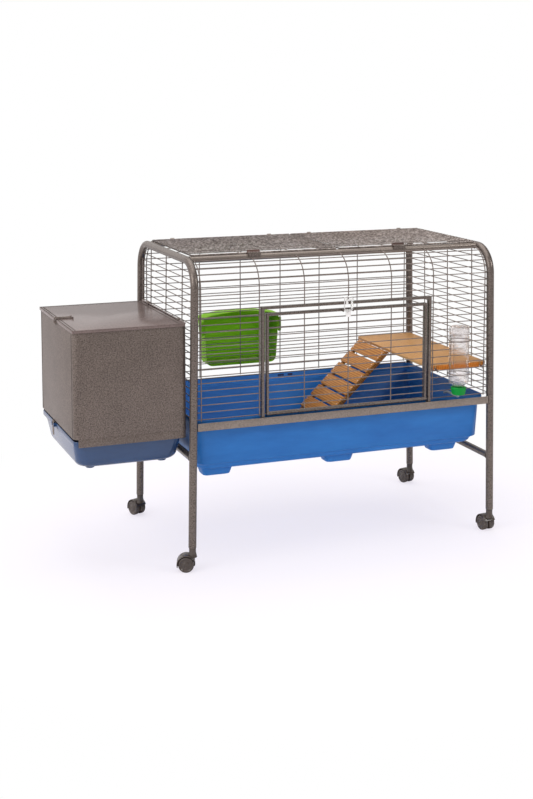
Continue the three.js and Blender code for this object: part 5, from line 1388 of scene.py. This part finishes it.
@dataclass
class NestBox:
    """The sheet nest box on the left end, with its lid, bails and drawer."""

    left: float = -897.75
    right: float = -541.75
    near: float = -283.0
    far: float = 178.0
    low: float = 425.0
    left_low: float = 450.0
    top: float = 783.0
    lid_top: float = 785.0
    sheet: float = 1.5
    fold: float = 20.0
    seam: float = 20.4
    bend: float = 16.0
    entrance_half: float = 85.0
    entrance_low: float = 489.0
    entrance_top: float = 694.0
    axis_x: float = -546.5
    axis_z: float = 786.0
    eye_places: tuple[float, float] = (-219.0, 114.0)
    hook_places: tuple[float, float] = (-140.0, 140.0)
    hook_low: float = 731.9
    hook_far: float = -515.7
    bail_x: float = -848.5
    bail_y: float = -60.0
    bail_z: float = 787.1
    drawer: tuple[float, float, float, float] = (-897.0, -280.75, -544.0, 175.75)
    drawer_low: float = 350.0
    drawer_wall: float = 2.5
    rim_z: float = 426.8
    clip_x: float = -901.0
    clip_y: float = -12.0
    clip_z: float = 434.8
    clip_top: float = 449.4

    def wall_sheet(self, path: Places, low: float, high: float) -> Shell:
        """An upright sheet bent to a plan, its edges rounded over."""
        section = rectangle(low, -self.sheet / 2, high, self.sheet / 2, 0.5, 2)
        return sweep(bend_path(lifted(path, 0.0), self.bend, 8), section, (0, 0, 1))

    def side_panel(self, name: str, side: int) -> None:
        """The front or the back panel, folded at both upright edges, with the drawer's ledge."""
        y, left, right = (self.far if side > 0 else self.near), self.left, self.right
        turn, (ledge_near, ledge_far) = y - side * self.fold, sorted((y, y - side * 16.0))
        shells = [self.wall_sheet([(left, turn), (left, y), (right, y), (right, turn)], self.left_low, self.top),
                  self.wall_sheet([(left + self.bend - 3, y), (right, y), (right, turn)], self.low, self.left_low),
                  block((left + self.bend, ledge_near, self.low),
                        (right - self.bend, ledge_far, self.low + self.sheet), 0.6, 0.4)]
        make_piece(f"nest_wall_{name}", shells, SHEET_PAINT, f"nest_{name}_panel", crease=50)

    def right_wall(self) -> Shell:
        """The wall towards the cage, with the arched entrance cut in it.

        The inner loop runs over the arch by its angle t, then down and along the sill. The outer
        loop takes the point where the ray at the same angle meets the wall's edge.

        Returns:
            The shell.
        """
        half, sill, crown = self.entrance_half, self.entrance_low, self.entrance_top - self.entrance_half
        rise, right, left = self.top - crown, self.far - self.seam, self.near + self.seam
        corners = [math.atan2(rise, right), math.atan2(rise, left)]
        angle = np.sort(np.concatenate([np.linspace(0, math.pi, 33), corners]))
        way = np.stack([np.cos(angle), np.sin(angle)], axis=-1)
        side = np.where(way[:, 0] > 0, right, -left)
        reach = np.minimum(side / np.maximum(np.abs(way[:, 0]), 1e-9), rise / np.maximum(way[:, 1], 1e-9))
        inner = np.concatenate([half * way + [0, crown], [[-half, sill], [half, sill]]])
        outer = np.concatenate([reach[:, None] * way + [0, crown], [[left, self.low], [right, self.low]]])
        x0, x1 = self.right - self.sheet / 2, self.right + self.sheet / 2
        rings = [lifted(loop, x) for loop, x in ((outer, x0), (outer, x1), (inner, x1), (inner, x0))]
        return grid(Axis.X.order(np.stack(rings)), True)

    def panels(self) -> None:
        """The four walls with their screws, hooks and hinge eyes."""
        for name, side in NAMED_FACES:
            self.side_panel(name, side)
        half, skin, low, far = self.sheet / 2, self.left - self.sheet / 2, self.hook_low, self.hook_far
        left = block((skin, self.near + self.seam, self.left_low), (self.left + half, self.far - self.seam,
                                                                    self.top), 0.3, 0.3)
        make_piece("nest_wall_left", left, SHEET_PAINT, "nest_left_panel", crease=50)
        shells = [self.right_wall()]
        shells += [block((self.right, y - 13, low), (far + 1.4, y + 13, low + 1.5), 0.6, 0.4)
                   for y in self.hook_places]
        shells += [block((far, y - 13, low - 12), (far + 1.4, y + 13, low + 1.0), 0.6, 0.4)
                   for y in self.hook_places]
        shells.append(repeat(annulus(3.0, 5.5, -7, 7, 20, Axis.Y), at(self.axis_x, self.eye_places, self.axis_z)))
        shells += [block((self.axis_x + 3.8, y - 7, self.top - 1), (self.right + half, y + 7, self.axis_z),
                         0.5, 0.2) for y in self.eye_places]
        make_piece("nest_wall_right", shells, SHEET_PAINT, "nest_right_panel", crease=50)
        dome = revolve([(0, -1.1), (1.4, -0.9), (2.4, -0.2), (2.4, 0.6), (0, 0.6)], 14, Axis.Y)
        screws = [(x, self.near - half, z) for x in (self.right - 26, self.left + 26) for z in (764.0, 458.0)]
        make_piece("nest_wall_screws", repeat(dome, screws), DULL, weld=True)
        # Painted shade: thin dark strips down the left wall where the front and back panels fold round onto it,
        # standing in for the shadow in those corner gaps.
        corner_shades = [block((skin - 0.15, y - 3.5, self.left_low + 2), (skin + 0.3, y + 3.5, self.top - 2), 0.1, 0.05)
                 for y in (self.near + self.fold, self.far - self.fold)]
        make_piece("nest_wall_painted_corner_shade", corner_shades, PAINTED_SHADE_SHEET)

    def lid(self) -> None:
        """The lid with its folded edges and hinge rod, and dark strips of painted shade along its edges."""
        x0, x1, crest = self.left - 2.75, self.axis_x, self.lid_top
        y0, y1, notch, half = self.near - 2.75, self.far + 2.75, 6.5, self.sheet / 2
        edge = []
        for y in self.eye_places:
            edge += [(x1, y - 8), (x1 - notch, y - 8), (x1 - notch, y + 8), (x1, y + 8)]
        outline = np.array([(x0, y1), (x0, y0), (x1, y0), *edge, (x1, y1)], float)
        radii = np.full(len(outline), 0.4)
        radii[:2] = 4.0
        plate = prism(rounded(outline, radii, 4), crest - self.sheet, crest, Axis.Z, 0.5)
        route = bend_path([(x1, y0 + half, 0.0), (x0 + half, y0 + half, 0.0), (x0 + half, y1 - half, 0.0),
                           (x1, y1 - half, 0.0)], 4.0, 6)
        skirt = sweep(route, rectangle(crest - 9, -half, crest - 0.4, half, 0.5, 2), (0, 0, 1))
        rod = rods((x1, y0, self.axis_z), (x1, y1, self.axis_z), 2.5, 20)
        bx = self.bail_x
        ears = [block((bx - 3, y - 1.25, crest - 1), (bx + 3, y + 1.25, self.bail_z + 3), 1.1, 0.6)
                for y in (self.bail_y + side * 12.05 for side in SIDES)]
        make_piece("nest_lid_sheet", [plate, skirt, rod, *ears], LID_PAINT, "nest_lid", Body.NEST_LID, crease=50)
        # Painted shade: dark strips on the lid's top along its edges, standing in for the shadow of the gap where
        # the lid meets the box.
        lines = [(x - 1.6, y0 + 2, x + 1.6, y1 - 2) for x in (x0 + 2, x0 + 11, x1 - 18)]
        lines.append((x0 + 3, y1 - 9, x1 - 19, y1 - 3))
        make_piece("nest_lid_painted_shade_lines", [block((a, b, crest - 0.4), (c, d, crest + 0.15), 0.1, 0.05)
                                        for a, b, c, d in lines], PAINTED_SHADE_SHEET, "", Body.NEST_LID)

    def bail(self) -> None:
        """The lid's wire bail: out over the edge, down, along and back, with its pin."""
        x, y, z = self.bail_x, self.bail_y, self.bail_z
        out, low, y0, y1 = self.left - 4.85, z - 18, y - 9, y + 9
        middle = (z + low) / 2
        route = [bend_path(corners, 3.0, 6) for corners in (
            [(x, y0, z), (out, y0, z), (out, y0, middle)],
            [(out, y0, middle), (out, y0, low), (out, y1, low), (out, y1, middle)],
            [(out, y1, middle), (out, y1, z), (x, y1, z)])]
        loop = winding_tube(np.concatenate([route[0][:-1], route[1], route[2][1:]]), 1.5, 12, (0, 0, 1))
        make_piece("nest_lid_bail", [loop, rods((x, y - 14.8, z), (x, y + 14.8, z), 1.5, 14)], DULL,
                   "nest_latch", Body.NEST_BAIL)

    def drawer_tray(self) -> None:
        """The drawer: sloping walls, a big radius at the floor, a rim that runs on the ledges."""
        rim, top, base, wall = self.rim_z, self.rim_z + 16, self.drawer_low, self.drawer_wall
        runner, slope, corner, bend = 14.8, 14.0, 30.0, 26.0
        drawn = slope * (1 - bend / (rim - base))
        turn, ends = np.linspace(0, math.pi / 2, 8), np.array([5.0, runner])
        levels = [(ends + into, z, 38.0) for into, z in fillet(drawn, base, bend, turn)]
        levels += [((5.6, runner + 0.6), rim - 5, corner), (ends, rim, corner), (0.6, rim, 15.4),
                   (0, rim + 0.8, 16), (0, top - 1, 16), (0.9, top, 15.1), (wall - 0.9, top, 14.4),
                   (wall, top - 1, 13.5), (wall, rim + wall, 13.5), (ends + wall, rim + wall, corner - wall)]
        levels += [(ends + into, z, 36.0)
                   for into, z in fillet(drawn + wall, base + wall, bend - wall, turn[::-1])]
        moulding = grid(np.stack([level(self.drawer, into, radius, z) for into, z, radius in levels]))
        foot = revolve([(0, base - 5), (12.5, base - 5), (14, base - 3.5), (14, base + 1), (0, base + 1)], 24)
        x0, y0, x1, y1 = self.drawer
        feet = repeat(foot, [(x, y, 0) for x in (x0 + 62, x1 - 62) for y in (y0 + 62, y1 - 62)])
        ears = [block((self.clip_x - 4, y - 1.5, self.clip_z - 4), (x0 + 1.2, y + 1.5, self.clip_z + 8), 0.6, 0.6)
                for y in (self.clip_y + side * 12.8 for side in SIDES)]
        make_piece("nest_drawer_moulding", [moulding, feet, *ears], DRAWER_BLUE, "nest_tray", Body.NEST_TRAY,
                   crease=48)

    def drawer_clip(self) -> None:
        """The pressed clip that holds the drawer shut, its lip hooked over the rim under the wall."""
        x, y, z, top = self.clip_x, self.clip_y, self.clip_z, self.clip_top
        outline = rounded([(y - 11, z - 32), (y + 11, z - 32), (y + 11, top), (y - 11, top)], [7, 7, 1, 1], 6)
        dimple = revolve([(0, -2.6), (3.0, -2.4), (5.2, -1.6), (5.2, -0.6), (0, -0.6)], 20, Axis.X)
        shells = [rods((x, y - 14.3, z), (x, y + 14.3, z), 2.0, 16), prism(outline, x - 2, x - 0.5, Axis.X, 0.4),
                  block((x - 1.6, y - 11, top - 3.4), (x + 4, y + 11, top), 0.8, 0.6), dimple.moved(x, y, z - 20)]
        make_piece("nest_drawer_clip_plate", shells, DULL, "nest_tray_clip", Body.NEST_CLIP, crease=45)

    def build(self) -> None:
        """Makes the nest box."""
        self.panels()
        self.lid()
        self.bail()
        self.drawer_tray()
        self.drawer_clip()


@dataclass
class Castors:
    """Twin-wheel castors in the feet of the legs, each trailing its own way, in radians from +X."""

    leg_x: float = 530.5
    leg_y: float = 296.0
    headings: tuple[tuple[str, int, int, float], ...] = (("front_left", -1, -1, 2.8), ("front_right", 1, -1, 1.68),
                                                         ("rear_left", -1, 1, 1.95), ("rear_right", 1, 1, 1.8))
    wheel: float = 25.0
    trail: float = 20.0
    inside: float = 4.1
    outside: float = 21.1
    hood: float = 30.0
    hood_half: float = 21.0
    hood_wall: float = 2.5
    foot: float = 76.0
    collar: float = 11.0

    def wheels(self) -> Shell:
        """Two wheels, each with a crowned tread, a dished outer face and a domed hub, on an axle."""
        r, a, b = self.wheel, self.inside, self.outside
        profile = [(0, a), (r - 3, a), (r - 1.0, a + 1.0), (r - 0.2, a + 3.5), (r, (a + b) / 2),
                   (r - 0.2, b - 3.5), (r - 1.2, b - 1.2), (r - 3.2, b - 0.1), (r - 5.5, b - 0.1),
                   (r - 6.5, b - 1.0), (r - 7.5, b - 2.0), (11, b - 2.0), (9.5, b - 1.2), (8.5, b - 0.3), (5, b),
                   (0, b)]
        outer = revolve(profile, 40, Axis.Y)
        inner = Shell(outer.points * np.array([1, -1, 1]), outer.faces).outward()
        return join([outer, inner, rods((0, -19, 0), (0, 19, 0), 3.0, 16)]).moved(self.trail, 0, self.wheel)

    def fork(self) -> Shell:
        """The hood over the wheels with rounded shoulders, its web, collar and stem."""
        outer, inner, half = self.hood, self.hood - self.hood_wall, self.hood_half
        shoulder = [(half - 3 + 3 * math.sin(t), max(outer - 3 + 3 * math.cos(t), inner + 0.1))
                    for t in np.linspace(0, math.pi / 2, 5)]
        section = np.array([*shoulder, (half, inner), (-half, inner), *[(-y, r) for y, r in reversed(shoulder)]])
        rings = [at(self.trail + section[:, 1] * math.cos(t), section[:, 0],
                    self.wheel + section[:, 1] * math.sin(t)) for t in np.linspace(-0.3, 2.75, 31)]
        fan = circle(inner + 1, 36, -0.3, math.pi + 0.6) + np.array([self.trail, self.wheel])
        c, top = self.collar, self.foot - 0.4
        collar = revolve([(0, 46), (c + 3.5, 46), (c + 1.6, 54), (c, 62), (c, self.foot - 1.8), (c - 1.2, top),
                          (0, top)], 28)
        stem = rods((0, 0, self.foot - 1), (0, 0, self.foot + 34), 5.2, 16)
        return join([grid(np.stack(rings)), prism(fan, -3.5, 3.5, Axis.Y), collar, stem])

    def build(self) -> None:
        """Makes the four castors."""
        for name, side_x, side_y, heading in self.headings:
            fork, wheels = (shell.turned(Axis.Z, heading).moved(side_x * self.leg_x, side_y * self.leg_y)
                            for shell in (self.fork(), self.wheels()))
            make_piece(f"castor_fork_{name}", fork, CASTOR_GREY, f"castor_hood_{name}",
                       f"castor_swivel_{name}", crease=40)
            make_piece(f"castor_twin_wheel_{name}", wheels, CASTOR_GREY, f"castor_wheels_{name}",
                       f"castor_wheel_pair_{name}", crease=40, weld=True)


@dataclass
class Studio:
    """The floor, the lamps and the camera at the photograph's place."""

    camera_place: tuple[float, float, float] = (-1826.5, -4277.8, 1546.2)
    yaw: float = 21.203
    pitch: float = 6.178
    roll: float = 0.02
    lens: float = 62.18
    shift_y: float = -0.22
    floor_half: float = 30.0
    bright_side: tuple[float, float, float] = (-0.84, 0.3, 0.45)
    front_light: float = 0.33
    back_light: float = 1.2
    shadow_reach: float = 0.75

    def floor(self) -> None:
        """A pale floor that shows white to the camera and keeps the cage's shadow."""
        mesh, half = bpy.data.meshes.new("floor"), self.floor_half
        mesh.from_pydata([(-half, -half, 0), (half, -half, 0), (half, half, 0), (-half, half, 0)], [],
                         [(0, 1, 2, 3)])
        material = bpy.data.materials.new("white_paper_floor")
        material.use_nodes = True
        nodes = Nodes(material.node_tree)
        paper = nodes.add("BsdfDiffuse", {"Color": linear("f4f2f4")})
        glow = nodes.add("Emission", {"Color": linear("fbf6ff"), "Strength": 0.72})
        dim = nodes.add("BsdfDiffuse", {"Color": linear("959595")})
        near = nodes.add("AddShader", links={0: glow, 1: dim})
        off = nodes.add("VectorMath", {1: (0.15, -0.1, 0.0)}, {0: nodes.add("TexCoord").outputs["Object"]},
                        operation="DISTANCE")
        fade = nodes.add("MapRange", {"From Min": self.shadow_reach, "From Max": self.shadow_reach + 0.8},
                         {"Value": off.outputs["Value"]}, interpolation_type="SMOOTHSTEP")
        far = nodes.add("Emission", {"Color": linear("ffffff"), "Strength": 1.0})
        both = nodes.add("MixShader", links={0: fade, 1: near, 2: far})
        rays = nodes.add("LightPath").outputs["Is Camera Ray"]
        nodes.add("OutputMaterial", links={"Surface": nodes.add("MixShader", links={0: rays, 1: paper, 2: both})})
        mesh.materials.append(material)
        added(bpy.data.objects.new("floor", mesh))

    def world(self) -> None:
        """A white surround for the camera; a light that is bright behind the cage and dim in front."""
        world = bpy.data.worlds.new("studio")
        bpy.context.scene.world = world
        world.use_nodes = True
        nodes = Nodes(world.node_tree)
        rays = nodes.add("LightPath").outputs
        seen = nodes.add("Math", links={0: rays["Is Camera Ray"], 1: rays["Is Transmission Ray"]},
                         operation="MAXIMUM")
        way = nodes.add("VectorMath", {1: self.bright_side}, {0: nodes.add("TexCoord").outputs["Generated"]},
                        operation="DOT_PRODUCT")
        strength = nodes.add("MapRange", {"From Min": -0.25, "From Max": 0.65, "To Min": self.front_light,
                                          "To Max": self.back_light}, {"Value": way.outputs["Value"]})
        light = nodes.add("Background", {"Color": linear("faf6f5")}, {"Strength": strength})
        white = nodes.add("Background", {"Color": linear("ffffff"), "Strength": 1.0})
        nodes.add("OutputWorld", links={"Surface": nodes.add("MixShader", links={0: seen, 1: light, 2: white})})

    def lamp(self, name: str, spot: Sequence[float], aim: Sequence[float], size: float, power: float) -> None:
        """A soft square lamp, in metres, aimed at a point."""
        data = bpy.data.lights.new(name, "AREA")
        data.size, data.energy = size, power
        lamp = added(bpy.data.objects.new(name, data))
        lamp.location = spot
        lamp.rotation_euler = (Vector(aim) - Vector(spot)).to_track_quat("-Z", "Y").to_euler()

    def camera(self) -> None:
        """The camera, solved from the legs, rails and rows in the photograph."""
        data = bpy.data.cameras.new("camera")
        data.sensor_fit, data.sensor_height = "VERTICAL", 36.0
        data.lens, data.shift_y = self.lens, self.shift_y
        camera = added(bpy.data.objects.new("camera", data))
        camera.location = Vector((np.array(self.camera_place) + ORIGIN) * MM)
        camera.rotation_euler = (math.radians(90 - self.pitch), math.radians(self.roll), math.radians(-self.yaw))
        bpy.context.scene.camera = camera

    def build(self) -> None:
        """Sets the stage."""
        bpy.context.scene.view_settings.view_transform = "Standard"
        self.floor()
        self.world()
        self.lamp("key", (-4.4, -1.8, 3.0), (0.0, 0.0, 0.6), 2.4, 55.0)
        self.lamp("fill", (3.4, -3.6, 3.0), (0.2, 0.0, 0.6), 1.4, 52.0)
        self.lamp("top", (0.1, 0.1, 3.0), (0.1, 0.1, 0.6), 2.8, 38.0)
        self.camera()


def main() -> None:
    """Builds the cage piece by piece."""
    stand = Stand()
    panels = MeshPanels(stand)
    for part in (Studio(), stand, panels, FrontDoor(panels), Roof(stand), LitterTray(), ShelfAndRamp(),
                 HayRack(), WaterBottle(), NestBox(), Castors()):
        log.info("building %s", type(part).__name__)
        part.build()


if __name__ == "__main__":
    logging.basicConfig(level=logging.INFO, format="%(name)s %(message)s")
    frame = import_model()
    ORIGIN = stand_origin()
    main()
